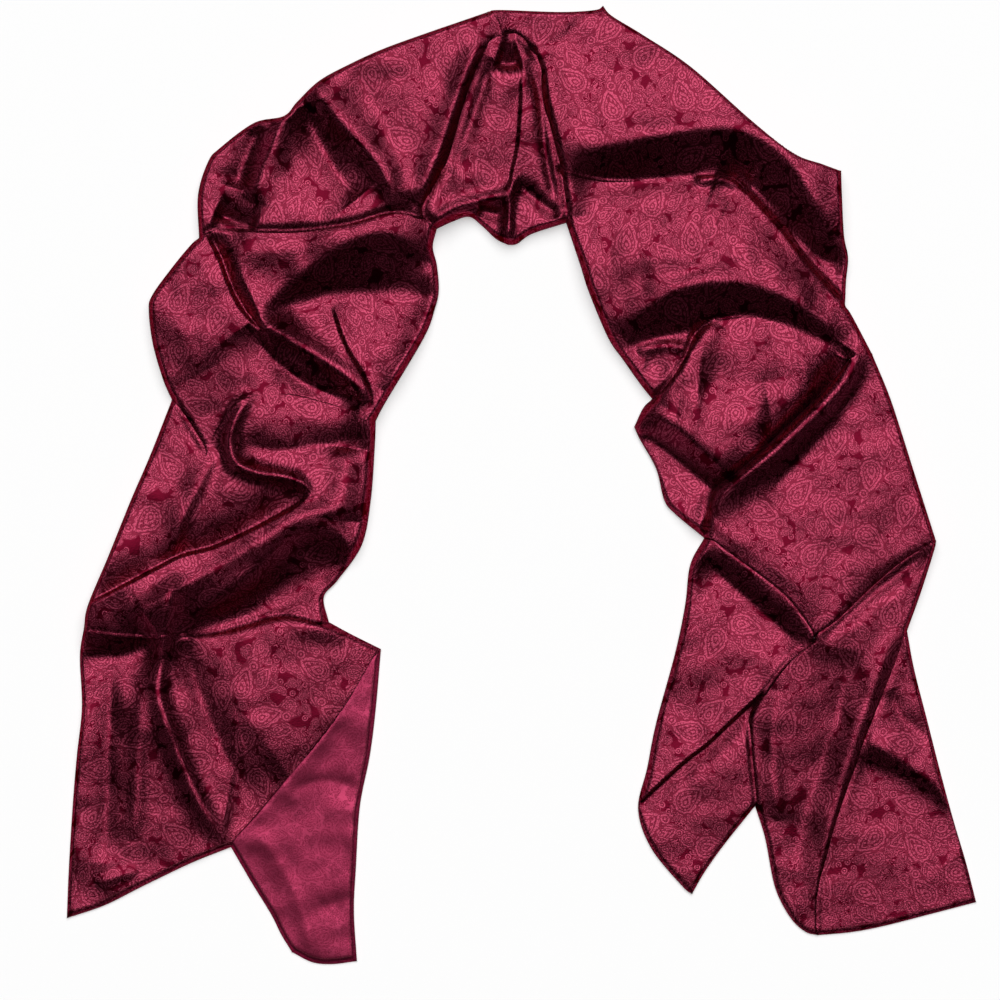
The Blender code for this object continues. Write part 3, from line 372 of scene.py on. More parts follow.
class ScarfSizes(bpy.types.PropertyGroup):
    """Sizes of the cloth and its sewing."""
    thickness: length_setting("Cloth thickness", "Thickness of the satin shell", 0.7 * MM)
    stitch_length: length_setting("Stitch length", "Length of one hem stitch", 2.3 * MM)
    stitch_pitch: length_setting("Stitch pitch", "From one stitch to the next", 3.1 * MM)
    hem_width: length_setting("Hem width", "From the edge to the stitches", 5.6 * MM)


class ScarfColours(bpy.types.PropertyGroup):
    """Colours of the cloth and its thread."""
    ground: colour_setting("Ground", "Satin ground of the front", (0.074, 0.0022, 0.0100))
    figure: colour_setting("Figure", "Woven figures of the front", (0.380, 0.051, 0.101))
    reverse: colour_setting("Reverse", "Ground of the reverse", (0.290, 0.030, 0.074))
    reverse_figure: colour_setting("Reverse figure", "Woven figures of the reverse",
                                   (0.200, 0.016, 0.045))
    thread: colour_setting("Thread", "Hem thread", (0.150, 0.008, 0.022))


def read_rows(text):
    """The rows of numbers of a table written as text, with commas inside a row."""
    return [[float(number) for number in row.split(",")] for row in text.split()]


def to_metres(points):
    plan = np.asarray(points, float)
    return np.stack([(plan[:, 0] - PLAN_MIDDLE_X) * UNIT, (PLAN_MIDDLE_Y - plan[:, 1]) * UNIT], 1)


def smooth_path(points, step):
    """A curve through the points, cut into equal lengths close to step."""
    knots = to_metres(points)
    if len(knots) > 2:
        ends = np.vstack([2 * knots[0] - knots[1], knots, 2 * knots[-1] - knots[-2]])
        curve = []
        for k in range(len(knots) - 1):
            p0, p1, p2, p3 = ends[k:k + 4]
            for t in np.linspace(0, 1, CURVE_STEPS, endpoint=False):
                curve.append(0.5 * (2 * p1 + (p2 - p0) * t + (2 * p0 - 5 * p1 + 4 * p2 - p3) * t * t
                                    + (3 * p1 - p0 - 3 * p2 + p3) * t ** 3))
        knots = np.vstack([curve, ends[-2]])
    lengths = np.concatenate([[0], np.cumsum(np.linalg.norm(np.diff(knots, axis=0), axis=1))])
    count = max(1, round(lengths[-1] / step))
    places = np.linspace(0, lengths[-1], count + 1)
    return np.stack([np.interp(places, lengths, knots[:, k]) for k in (0, 1)], 1)


def edge_path(name, step):
    backwards = name.startswith("-")
    edge = EDGES[name.lstrip("-")]
    path = smooth_path([CORNERS[edge.start], *read_rows(edge.via), CORNERS[edge.end]], step)
    return path[::-1] if backwards else path


def distance_to(path, points):
    """Distance to a path, part of the way along it, True on its left, and the way off it."""
    best = np.full(len(points), FAR)
    along = np.zeros(len(points))
    left = np.zeros(len(points), bool)
    away = np.zeros((len(points), 2))
    lengths = np.linalg.norm(np.diff(path, axis=0), axis=1)
    total = lengths.sum()
    walked = 0.0
    for a, b, length in zip(path[:-1], path[1:], lengths):
        way = (b - a) / length
        reach = np.clip((points - a) @ way, 0, length)
        offset = points - (a + reach[:, None] * way)
        gap = np.hypot(offset[:, 0], offset[:, 1])
        near = gap < best
        best[near] = gap[near]
        along[near] = (walked + reach[near]) / total
        left[near] = (way[0] * offset[near, 1] - way[1] * offset[near, 0]) > 0
        away[near] = offset[near]
        walked += length
    return best, along, left, away / np.maximum(best, TINY)[:, None]


def rounding(share):
    """A soft shoulder: 0 at the edge, 1 where the rounding ends."""
    inner = 1 - np.clip(share, 0, 1)
    return 1 - inner ** EDGE_POWER


def ripple(points):
    """The slight unevenness of cloth that was dropped and not ironed."""
    x, y = points.T
    total = np.zeros(len(points))
    for length, size, turn in RIPPLES:
        across = x * math.cos(turn) + y * math.sin(turn)
        along = y * math.cos(turn) - x * math.sin(turn)
        waves = along * math.tau / (WANDER_LENGTHS * length * MM)
        wander = RIPPLE_WANDER * np.sin(waves + WANDER_START * turn)
        total += size * MM * np.sin(across * math.tau / (length * MM) + wander)
    return total


def base_height(points):
    rows = np.array(read_rows(BASE))
    places = to_metres(rows[:, :2])
    heights = rows[:, 2] * MM
    square = ((points[:, None, :] - places[None]) ** 2).sum(2) / (BASE_REACH * UNIT) ** 2
    weight = np.exp(-square * BASE_FADE) + TINY
    return (weight * heights).sum(1) / weight.sum(1)


def soft_step(share):
    """From 0 to 1 without a corner at either end."""
    share = np.clip(share, 0, 1)
    return share * share * (3 - 2 * share)


def near_to(path, points, reach):
    """The points in the path's box, widened by reach: all others lie further away."""
    low, high = path.min(0) - reach, path.max(0) + reach
    return np.flatnonzero(((points > low) & (points < high)).all(1))


def fold_shape(fold, path, points):
    """Rise of the cloth at each point, and how far the fold draws the pattern in."""
    gap, along, left, away = distance_to(path, points)
    width = np.where(left, fold.width_left, fold.width_right) * MM
    rise = np.where(left, fold.left, fold.right) * MM
    if fold.left != fold.right:
        middle = 0.5 * (fold.left + fold.right) * MM
        rise = middle + (rise - middle) * soft_step(gap / LAYER_SOFT)
    fade = np.ones(len(points))
    if fold.fade in ("both", "start"):
        fade *= np.clip(along / FADE_SHARE, 0, 1)
    if fold.fade in ("both", "end"):
        fade *= np.clip((1 - along) / FADE_SHARE, 0, 1)
    rise = rise * fade * (2 - fade)
    share = gap / width
    drawn = DRAW_IN * rise * rise / (width + np.abs(rise)) * soft_step(share / DRAW_NEAR)
    drawn *= 1 - soft_step((share - DRAW_NEAR) / (FOLD_REACH - DRAW_NEAR))
    bend, power = (CREST_ROUND, FOLD_POWER) if fold.right > 0 else (VALLEY_ROUND, VALLEY_POWER)
    crest = np.hypot(gap, bend) - bend
    return rise * np.exp(-(crest / width) ** power), away * drawn[:, None]


def is_join(part):
    return EDGES[part].roll == 0


def is_free(part):
    return not EDGES[part].over and not is_join(part)


def edges_of(name):
    return [part.lstrip("-") for part in STRETCHES[name].split("|")]


def joined_to(name):
    """The stretches that this one runs on into with no layer between them."""
    joins = {part for part in edges_of(name) if is_join(part)}
    return [other for other in STRETCHES if other != name and joins & set(edges_of(other))]


def shaping_edges(name):
    """The stretch's own edges, and the free ones of a stretch that it runs on into."""
    parts = edges_of(name)
    for other in joined_to(name):
        parts += [part for part in edges_of(other) if is_free(part)]
    return [part for part in dict.fromkeys(parts) if not is_join(part)]


def folds_of(name):
    shared = {name, *joined_to(name)}
    return [fold for fold in FOLDS.values() if shared & set(fold.on.split())]


def emerging(part, along):
    """1 along a layer edge, and down to 0 where it grows out of smooth cloth."""
    if part in EMERGING:
        return np.clip(along / EMERGING_REACH, 0, 1)
    if "-" + part in EMERGING:
        return np.clip((1 - along) / EMERGING_REACH, 0, 1)
    return np.ones(len(along))


def cloth_shape(name, points):
    """Height of the upper face at each plan point, and how far the pattern is drawn in there."""
    drawn = np.zeros((len(points), 2))
    height = base_height(points)
    for fold in folds_of(name):
        path = smooth_path(read_rows(fold.path), PATH_STEP)
        reach = FOLD_REACH if fold.right > 0 else VALLEY_REACH
        near = near_to(path, points, reach * max(fold.width_left, fold.width_right) * MM)
        if len(near):
            rise, pull = fold_shape(fold, path, points[near])
            height[near] += rise
            drawn[near] += pull
    height += ripple(points)
    over = height - THINNEST
    height = THINNEST + 0.5 * (over + np.hypot(over, THIN_SOFT))
    for part in shaping_edges(name):
        edge = EDGES[part]
        path = edge_path(part, PATH_STEP)
        near = near_to(path, points, edge.roll * MM)
        if not len(near):
            continue
        gap, along, _, away = distance_to(path, points[near])
        share = gap / (edge.roll * MM)
        if is_free(part):
            fall = (height[near] - edge.lip * MM) * (1 - rounding(share))
        elif edge.over == name:
            fall = edge.lip * MM * (1 - rounding(share)) * emerging(part, along)
        else:
            fall = edge.tuck * MM * np.clip(1 - share, 0, 1) ** 2 * emerging(part, along)
        height[near] -= fall
        drawn[near] -= away * (EDGE_DRAW * fall)[:, None]
    return np.maximum(height, THINNEST), drawn


def outline(name, step):
    """The stretch's loop, anticlockwise: its points, the edge that each is on, if no corner, and
    how far each is along the loop from a corner."""
    loop, parts, reach = [], [], []
    for part in STRETCHES[name].split("|"):
        path = edge_path(part, step)
        count = len(path) - 1
        length = np.linalg.norm(np.diff(path, axis=0), axis=1).sum()
        places = np.arange(count) * length / count
        loop += list(path[:-1])
        parts += [""] + [part.lstrip("-")] * (count - 1)
        reach += list(np.minimum(places, length - places))
    return np.array(loop)[::-1], parts[::-1], np.array(reach)[::-1]


def inset(loop, amount):
    """The loop with each point moved in by amount, square to both of its sides."""
    before = loop - np.roll(loop, 1, 0)
    after = np.roll(loop, -1, 0) - loop
    sides = [way / np.linalg.norm(way, axis=1)[:, None] for way in (before, after)]
    inward = [np.stack([-way[:, 1], way[:, 0]], 1) for way in sides]
    both = inward[0] + inward[1]
    share = 1 + (inward[0] * inward[1]).sum(1)
    move = both / np.maximum(share, MITRE_LEAST)[:, None]
    return loop + move * np.reshape(amount, (-1, 1))


def inside(loop, points):
    """Even-odd test of each point against the loop."""
    result = np.zeros(len(points), bool)
    for a, b in zip(loop, np.roll(loop, -1, 0)):
        crosses = (a[1] > points[:, 1]) != (b[1] > points[:, 1])
        rise = b[1] - a[1] if abs(b[1] - a[1]) > 1e-12 else 1e-12
        x = a[0] + (points[:, 1] - a[1]) / rise * (b[0] - a[0])
        result ^= crosses & (points[:, 0] < x)
    return result


def inner_points(loop, step):
    """Even rows of points inside the loop."""
    low, high = loop.min(0), loop.max(0)
    field = []
    for k, y in enumerate(np.arange(low[1], high[1], step * ROW_SHARE)):
        x = np.arange(low[0] + 0.5 * step * (k % 2), high[0], step)
        field.append(np.stack([x, np.full(len(x), y)], 1))
    field = np.vstack(field)
    field = field[inside(loop, field)]
    gap = distance_to(np.vstack([loop, loop[:1]]), field)[0]
    return field[gap > RIM_ROOM * step]


def fill(loop, extra):
    """Triangles over the loop and the extra points inside it."""
    points = [Vector(p) for p in loop] + [Vector(p) for p in extra]
    ring = [list(range(len(loop)))]
    _, _, faces, originals, _, _ = delaunay_2d_cdt(points, [], ring, 1, 1e-7)
    lookup = [min(ids) if ids else -1 for ids in originals]
    return [[lookup[k] for k in face] for face in faces if all(lookup[k] >= 0 for k in face)]


def lower_neighbour(name, part):
    """The stretch that lies under this one along an edge."""
    return next(other for other in STRETCHES if other != name and part in edges_of(other))


def side_rows(name, loop, parts, reach):
    """Rows of points from the cloth's upper edge down round its side, each with its heights."""
    count = len(loop)
    rim = cloth_shape(name, loop)[0]
    step_down = np.full(count, LEAST_STEP_DOWN)
    kinds = np.array(["corner"] * count, dtype=object)
    lips = np.zeros(count)
    for part in set(parts) - {""}:
        here = np.array([own == part for own in parts])
        edge = EDGES[part]
        kinds[here] = "free" if is_free(part) else "over" if edge.over == name else "under"
        lips[here] = edge.lip
        if edge.over == name:
            low = cloth_shape(lower_neighbour(name, part), loop[here])[0]
            step_down[here] = np.maximum(rim[here] - low, LEAST_STEP_DOWN)
    folded = np.clip((lips - SINGLE_LIP) / (FOLDED_LIP - SINGLE_LIP), 0, 1)
    rows = []
    for free, over, under in zip(FREE_ROWS, OVER_ROWS, UNDER_ROWS):
        inward = np.zeros(count)
        height = rim - under.down * MM
        lies, laps, runs_on = (kinds == kind for kind in ("free", "over", "under"))
        inward[lies] = (free.single + (free.folded - free.single) * folded)[lies]
        height[lies] = (rim * free.share)[lies]
        inward[laps] = over.inward
        height[laps] = (rim - step_down * over.down)[laps]
        inward[runs_on] = under.inward
        limit = CORNER_SHARE * reach
        amount = np.clip(inward * MM, -limit, limit)
        rows.append((inset(loop, amount), np.maximum(height, LOWEST_ROW)))
    return rows


def new_piece(name, verts, faces):
    mesh = bpy.data.meshes.new(name)
    mesh.from_pydata(verts, [], faces)
    piece = bpy.data.objects.new(name, mesh)
    bpy.context.collection.objects.link(piece)
    return piece


def dress(piece, finish):
    """Gives the piece its finish, on the scarf's one body."""
    piece.data.materials.append(material(finish))
    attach(piece, "root")


def cloth_piece(name, thickness):
    """A thin shell of cloth over one stretch, with its pattern laid out flat in a UV map."""
    loop, parts, reach = outline(name, CLOTH_STEP)
    rows = side_rows(name, loop, parts, reach)
    top = rows[0][0]
    extra = inner_points(top, CLOTH_STEP)
    heights, drawn = cloth_shape(name, np.vstack([top, extra]))
    count = len(loop)
    drawn[:count] = cloth_shape(name, inset(top, np.full(count, RIM_SAMPLE)))[1]
    plan = np.vstack([top, extra] + [row[0] for row in rows[1:]])
    height = np.concatenate([heights] + [row[1] for row in rows[1:]])
    height[:count] = rows[0][1]
    faces = fill(top, extra)
    starts = [0] + [len(top) + len(extra) + k * count for k in range(len(rows) - 1)]
    for upper, lower in zip(starts[:-1], starts[1:]):
        for k in range(count):
            after = (k + 1) % count
            faces.append([lower + k, lower + after, upper + after, upper + k])
    flat = plan.copy()
    flat[:len(top) + len(extra)] += drawn
    walked = flat[:count].copy()
    for k in range(1, len(rows)):
        down = np.hypot(np.linalg.norm(rows[k][0] - rows[k - 1][0], axis=1),
                        rows[k][1] - rows[k - 1][1])
        outward = loop - inset(loop, np.full(count, MM))
        outward /= np.maximum(np.linalg.norm(outward, axis=1), TINY)[:, None]
        walked = walked + outward * down[:, None]
        flat[starts[k]:starts[k] + count] = walked
    lay = next(row for row in LAYS if name in row.on.split())
    turn = math.radians(lay.turn)
    across = np.array([math.cos(turn), math.sin(turn)])
    ahead = np.array([-math.sin(turn), math.cos(turn)])
    layout = np.stack([flat @ across + lay.start_u, flat @ ahead + lay.start_v], 1)
    piece = new_piece(name + "_cloth", np.column_stack([plan, height]).tolist(), faces)
    mesh = piece.data
    layer = mesh.uv_layers.new(name="cloth_layout")
    corners = np.empty(len(mesh.loops), np.int32)
    mesh.loops.foreach_get("vertex_index", corners)
    layer.data.foreach_set("uv", layout[corners].ravel())
    mesh.shade_smooth()
    wall = piece.modifiers.new("Thickness", "SOLIDIFY")
    wall.thickness = thickness
    wall.offset = -1.0
    bpy.ops.object.select_all(action="DESELECT")
    bpy.context.view_layer.objects.active = piece
    piece.select_set(True)
    bpy.ops.object.modifier_apply(modifier=wall.name)
    return piece, layout, flat_area(layout, faces)


def flat_area(layout, faces):
    """Area that the faces cover in the flat layout, in square metres."""
    total = 0.0
    for face in faces:
        x, y = layout[face].T
        total += abs(0.5 * (np.dot(x, np.roll(y, -1)) - np.dot(y, np.roll(x, -1))))
    return total


# Materials: small helpers that add nodes from left to right

# The woven figure, in parts of its round end's radius: its bend, its tip, its beads' number and
# depth, its rows of beads, its curled tip's ring and dot, and the ground kept clear round them
BOTEH_BEND = 0.24
BOTEH_TIP = 2.15
BOTEH_TAPER = 5.0
BOTEH_BEADS = 11.0
BEAD_DEPTH = 0.045
BODY_REACH = 0.98
BEAD_START = 0.1
BEAD_ROW = (0.50, 0.62)
FRINGE_ROW = (1.10, 1.26)
CURL_AT = (BOTEH_BEND * BOTEH_TIP ** 2 + 0.16, BOTEH_TIP - 0.26, 0.0)
CURL_RING = (0.24, 0.40)
CURL_DOT = 0.12
CURL_CLEAR = 0.48
HALO_REACH = 1.32
CURL_HALO = 0.52
# Its outlines from the middle out, as a place in halves and 1 for figure or 0 for ground
BOTEH_RINGS = [(0.0, 1.0), (0.07, 0.0), (0.115, 1.0), (0.21, 0.0), (0.25, 1.0), (0.34, 0.0),
               (0.385, 1.0)]
# Spacing of the figures' cells in metres, and how unevenly they lie
CELLS = {"large": (0.046, 0.45), "medium": (0.027, 0.5), "small": (0.0145, 0.6),
         "leaf": (0.0075, 0.7)}
# The figures from the top layer down: cell, place in it, turn in radians, and radius in metres
FIGURES = [("large", 0.0085, 0.006, 0.0, 0.0102), ("large", -0.0088, 0.0015, 0.32, 0.0076),
           ("medium", 0.001, 0.004, 0.0, 0.0066), ("small", 0.0, 0.0022, 0.0, 0.0037)]
# The leaves' rings, in centimetres, and the share of cells without one
LEAF_RINGS = [(0.0, 1.0), (0.09, 0.0), (0.17, 1.0), (0.29, 0.0)]
LEAF_SPARE = 0.5
# Scrolls: noise per metre, how many lines it makes, their start, and where patches of them lie
SCROLL_SCALE = 95.0
SCROLL_LINES = 74.0
SCROLL_START = 0.1
PATCH_SCALE = 31.0
PATCH_START = 0.53
# Fine thread: per metre across and along, its depth, and the speckle of the figure's floats
SLUB_SCALE = (330.0, 1100.0, 1.0)
SLUB_DEPTH = 1.4
SPECKLE_SCALE = 760.0
SPECKLE_DEPTH = 3.0
FIGURE_LEVEL = 0.72
# How much of the figure's colour and gloss the cloth has between its lines
FILLED_SHARE = 0.15
# Roughness of the ground and of the figures, and the depth of the weave, on each side
FACE_ROUGHNESS = (0.36, 0.46)
FACE_RELIEF = 0.16 * MM
REVERSE_ROUGHNESS = (0.42, 0.50)
REVERSE_RELIEF = 0.05 * MM
EDGE_TINT = (0.30, 0.05, 0.10, 1.0)
THREAD_ROUGHNESS = 0.6


class Graph:
    """Adds and wires the nodes of one material or node group."""

    def __init__(self, tree):
        self.tree = tree
        self.count = 0

    def add(self, kind, **settings):
        node = self.tree.nodes.new(kind)
        node.location = (220 * (self.count % 12), -180 * (self.count // 12))
        self.count += 1
        for key, value in settings.items():
            setattr(node, key, value)
        return node

    def feed(self, socket, value):
        if isinstance(value, bpy.types.NodeSocket):
            self.tree.links.new(value, socket)
        elif value is not None:
            socket.default_value = value

    def math(self, operation, a, b=None, clamp=False):
        node = self.add("ShaderNodeMath", operation=operation, use_clamp=clamp)
        self.feed(node.inputs[0], a)
        self.feed(node.inputs[1], b)
        return node.outputs[0]

    def vector(self, operation, a, b=None, scale=None):
        node = self.add("ShaderNodeVectorMath", operation=operation)
        self.feed(node.inputs[0], a)
        self.feed(node.inputs[1], b)
        if scale is not None:
            self.feed(node.inputs["Scale"], scale)
        return node.outputs["Value" if operation in ("LENGTH", "DISTANCE") else "Vector"]

    def between(self, value, low, high):
        """1 where the value is between low and high, with no soft edge."""
        above = self.math("GREATER_THAN", value, low)
        below = self.math("LESS_THAN", value, high)
        return self.math("MULTIPLY", above, below)

    def steps(self, value, stops):
        """A ramp of plain steps: (place, level) rows."""
        ramp = self.add("ShaderNodeValToRGB")
        ramp.color_ramp.interpolation = "CONSTANT"
        elements = ramp.color_ramp.elements
        while len(elements) > 1:
            elements.remove(elements[-1])
        for k, (place, level) in enumerate(stops):
            element = elements[0] if k == 0 else elements.new(place)
            element.position = place
            element.color = (level, level, level, 1)
        self.feed(ramp.inputs["Fac"], value)
        return ramp.outputs["Color"]

    def mix(self, factor, a, b):
        node = self.add("ShaderNodeMix", data_type="RGBA")
        self.feed(node.inputs["Factor"], factor)
        self.feed(node.inputs["A"], a)
        self.feed(node.inputs["B"], b)
        return node.outputs["Result"]


def new_group(name, inputs, outputs):
    """A shader node group with named sockets: (name, socket type, default) rows."""
    group = bpy.data.node_groups.new(name, "ShaderNodeTree")
    for label, kind, default in inputs:
        socket = group.interface.new_socket(label, in_out="INPUT", socket_type=kind)
        if default is not None:
            socket.default_value = default
    for label, kind in outputs:
        group.interface.new_socket(label, in_out="OUTPUT", socket_type=kind)
    graph = Graph(group)
    source = graph.add("NodeGroupInput")
    target = graph.add("NodeGroupOutput")
    return group, graph, source, target


def boteh_group():
    """One curled teardrop figure: outlines inside each other, beads and a ring at its tip."""
    group, g, source, target = new_group(
        "boteh_figure",
        [("Place", "NodeSocketVector", None), ("Turn", "NodeSocketFloat", 0.0),
         ("Radius", "NodeSocketFloat", 0.01)],
        [("Raised", "NodeSocketFloat"), ("Halo", "NodeSocketFloat")])
    turned = g.add("ShaderNodeVectorRotate", rotation_type="Z_AXIS")
    g.feed(turned.inputs["Vector"], source.outputs["Place"])
    g.feed(turned.inputs["Angle"], source.outputs["Turn"])
    local = g.vector("SCALE", turned.outputs[0],
                     scale=g.math("DIVIDE", 1.0, source.outputs["Radius"]))
    split = g.add("ShaderNodeSeparateXYZ")
    g.feed(split.inputs[0], local)
    x, y = split.outputs["X"], split.outputs["Y"]
    above = g.math("MAXIMUM", y, 0.0)
    bend = g.math("MULTIPLY", g.math("MULTIPLY", above, above), BOTEH_BEND)
    bent = g.math("SUBTRACT", x, bend)
    angle = g.math("ABSOLUTE", g.math("ARCTAN2", bent, y))
    close = g.math("POWER", g.math("SUBTRACT", 1.0, g.math("DIVIDE", angle, math.pi)), BOTEH_TAPER)
    reach = g.math("ADD", g.math("MULTIPLY", close, BOTEH_TIP - 1.0), 1.0)
    across = g.add("ShaderNodeCombineXYZ")
    g.feed(across.inputs["X"], bent)
    g.feed(across.inputs["Y"], y)
    field = g.math("DIVIDE", g.vector("LENGTH", across.outputs[0]), reach)
    beat = g.math("SINE", g.math("MULTIPLY", g.math("MULTIPLY", angle, reach), BOTEH_BEADS))
    scallop = g.math("ADD", field, g.math("MULTIPLY", beat, BEAD_DEPTH))
    rings = g.steps(g.math("MULTIPLY", field, 0.5), BOTEH_RINGS)
    beads = g.math("GREATER_THAN", beat, BEAD_START)
    open_beads = g.math("SUBTRACT", 1.0, g.math("MULTIPLY", g.between(field, *BEAD_ROW), beads))
    inner = g.math("MULTIPLY", g.math("MULTIPLY", rings, open_beads),
                   g.math("LESS_THAN", scallop, BODY_REACH))
    fringe = g.math("MULTIPLY", g.between(field, *FRINGE_ROW), beads)
    tip = g.vector("DISTANCE", local, CURL_AT)
    curl = g.math("MAXIMUM", g.between(tip, *CURL_RING), g.math("LESS_THAN", tip, CURL_DOT))
    clear = g.math("GREATER_THAN", tip, CURL_CLEAR)
    body = g.math("MULTIPLY", g.math("MAXIMUM", inner, fringe), clear)
    g.feed(target.inputs["Raised"], g.math("MAXIMUM", body, curl))
    g.feed(target.inputs["Halo"], g.math("MAXIMUM", g.math("LESS_THAN", field, HALO_REACH),
                                         g.math("LESS_THAN", tip, CURL_HALO)))
    return group


def jacquard_group(boteh):
    """Botehs of three sizes in a jittered repeat, rings between them and fine scrolls."""
    group, g, source, target = new_group(
        "paisley_jacquard", [("Cloth", "NodeSocketVector", None)],
        [("Figure", "NodeSocketFloat"), ("Height", "NodeSocketFloat")])
    cloth = source.outputs["Cloth"]

    def cells(name):
        size, randomness = CELLS[name]
        cell = g.add("ShaderNodeTexVoronoi", voronoi_dimensions="2D", feature="F1")
        g.feed(cell.inputs["Vector"], cloth)
        cell.inputs["Scale"].default_value = 1.0 / size
        cell.inputs["Randomness"].default_value = randomness
        split = g.add("ShaderNodeSeparateColor")
        g.feed(split.inputs[0], cell.outputs["Color"])
        place = g.vector("SUBTRACT", cloth, cell.outputs["Position"])
        turn = g.math("MULTIPLY", split.outputs["Red"], math.tau)
        spun = g.add("ShaderNodeVectorRotate", rotation_type="Z_AXIS")
        g.feed(spun.inputs["Vector"], place)
        g.feed(spun.inputs["Angle"], turn)
        return spun.outputs[0], split

    def figure(place, offset, turn, radius):
        node = g.add("ShaderNodeGroup", node_tree=boteh)
        g.feed(node.inputs["Place"], g.vector("ADD", place, offset))
        g.feed(node.inputs["Turn"], turn)
        g.feed(node.inputs["Radius"], radius)
        return node.outputs["Raised"], node.outputs["Halo"]

    def noise(scale, detail):
        node = g.add("ShaderNodeTexNoise", noise_dimensions="2D")
        g.feed(node.inputs["Vector"], cloth)
        node.inputs["Scale"].default_value = scale
        node.inputs["Detail"].default_value = detail
        return node.outputs[0]

    places = {name: cells(name) for name in CELLS}
    layers = [figure(places[cell][0], (across, ahead, 0.0), turn, radius)
              for cell, across, ahead, turn, radius in FIGURES]
    leaf, chance = places["leaf"]
    dot = g.math("MULTIPLY", g.vector("LENGTH", leaf), 100.0)
    ring = g.steps(dot, LEAF_RINGS)
    ring = g.math("MULTIPLY", ring, g.math("GREATER_THAN", chance.outputs["Blue"], LEAF_SPARE))
    layers.append((ring, ring))
    scroll = g.math("SINE", g.math("MULTIPLY", noise(SCROLL_SCALE, 1.0), SCROLL_LINES))
    scroll = g.math("GREATER_THAN", scroll, SCROLL_START)
    patch = g.math("GREATER_THAN", noise(PATCH_SCALE, 0.0), PATCH_START)
    scroll = g.math("MULTIPLY", scroll, patch)
    layers.append((scroll, scroll))
    figure_now, covered = layers[0]
    for raised, halo in layers[1:]:
        open_ground = g.math("SUBTRACT", 1.0, covered)
        figure_now = g.math("MAXIMUM", figure_now, g.math("MULTIPLY", raised, open_ground))
        covered = g.math("MAXIMUM", covered, halo)
    filled = g.math("MULTIPLY", covered, FILLED_SHARE)
    slub = g.add("ShaderNodeTexNoise", noise_dimensions="2D")
    g.feed(slub.inputs["Vector"], g.vector("MULTIPLY", cloth, SLUB_SCALE))
    slub.inputs["Scale"].default_value = 1.0
    slub.inputs["Detail"].default_value = 2.0
    grain = g.math("MULTIPLY", slub.outputs[0], SLUB_DEPTH)
    speckle = g.math("SUBTRACT", noise(SPECKLE_SCALE, 1.0), 0.5)
    speckle = g.math("MULTIPLY", speckle, SPECKLE_DEPTH)
    woven = g.math("MULTIPLY", figure_now, g.math("ADD", speckle, FIGURE_LEVEL))
    g.feed(target.inputs["Figure"], g.math("MAXIMUM", woven, filled, clamp=True))
    g.feed(target.inputs["Height"], g.math("ADD", figure_now, grain))
    return group


def cloth_material(name, jacquard, ground, figure, roughness, relief):
    """Satin with woven figures: ground and figure differ in colour, gloss and height."""
    material = bpy.data.materials.new(name)
    material.use_nodes = True
    g = Graph(material.node_tree)
    shader = material.node_tree.nodes["Principled BSDF"]
    layout = g.add("ShaderNodeUVMap", uv_map="cloth_layout")
    weave = g.add("ShaderNodeGroup", node_tree=jacquard)
    g.feed(weave.inputs["Cloth"], layout.outputs["UV"])
    mask = weave.outputs["Figure"]
    g.feed(shader.inputs["Base Color"], g.mix(mask, ground, figure))
    low, high = roughness
    g.feed(shader.inputs["Roughness"],
           g.math("ADD", g.math("MULTIPLY", mask, high - low), low))
    bump = g.add("ShaderNodeBump")
    bump.inputs["Strength"].default_value = 1.0
    bump.inputs["Distance"].default_value = relief
    g.feed(bump.inputs["Height"], weave.outputs["Height"])
    g.feed(shader.inputs["Normal"], bump.outputs["Normal"])
    shader.inputs["Metallic"].default_value = 1.0
    shader.inputs["Specular Tint"].default_value = EDGE_TINT
    return material


def plain_material(name, colour, roughness):
    material = bpy.data.materials.new(name)
    material.use_nodes = True
    shader = material.node_tree.nodes["Principled BSDF"]
    shader.inputs["Base Color"].default_value = colour
    shader.inputs["Roughness"].default_value = roughness
    return material


def material(name):
    """The named material, made the first time that it is asked for."""
    if name in bpy.data.materials:
        return bpy.data.materials[name]
    colours = bpy.context.scene.scarf_colours
    if name == "hem_thread":
        return plain_material(name, colours.thread, THREAD_ROUGHNESS)
    if "paisley_jacquard" not in bpy.data.node_groups:
        jacquard_group(boteh_group())
    jacquard = bpy.data.node_groups["paisley_jacquard"]
    if name == "satin_reverse_woven":
        return cloth_material(name, jacquard, colours.reverse, colours.reverse_figure,
                              REVERSE_ROUGHNESS, REVERSE_RELIEF)
    return cloth_material("satin_face_woven", jacquard, colours.ground, colours.figure,
                          FACE_ROUGHNESS, FACE_RELIEF)


class SCARF_OT_stretches(bpy.types.Operator):
    """Lays the satin shell of every stretch of cloth over its solid"""
    bl_idname = "scarf.stretches"
    bl_label = "Cloth stretches"

    def execute(self, context):
        sizes = context.scene.scarf_sizes
        for name in STRETCHES:
            piece, layout, area = cloth_piece(name, sizes.thickness)
            side = "satin_reverse" if name == "left_flap" else "satin_face"
            dress(piece, side + "_woven")
            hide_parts(name)
        return {"FINISHED"}


# The lowest layers: spacing of their outline's points, how far in they lie, their thickness, and
# where their pattern starts
UNDERSIDE_STEP = 6 * MM
UNDERSIDE_INSET = 2.2 * MM
UNDERSIDE_THICK = 0.5 * MM
UNDERSIDE_START = 14.0


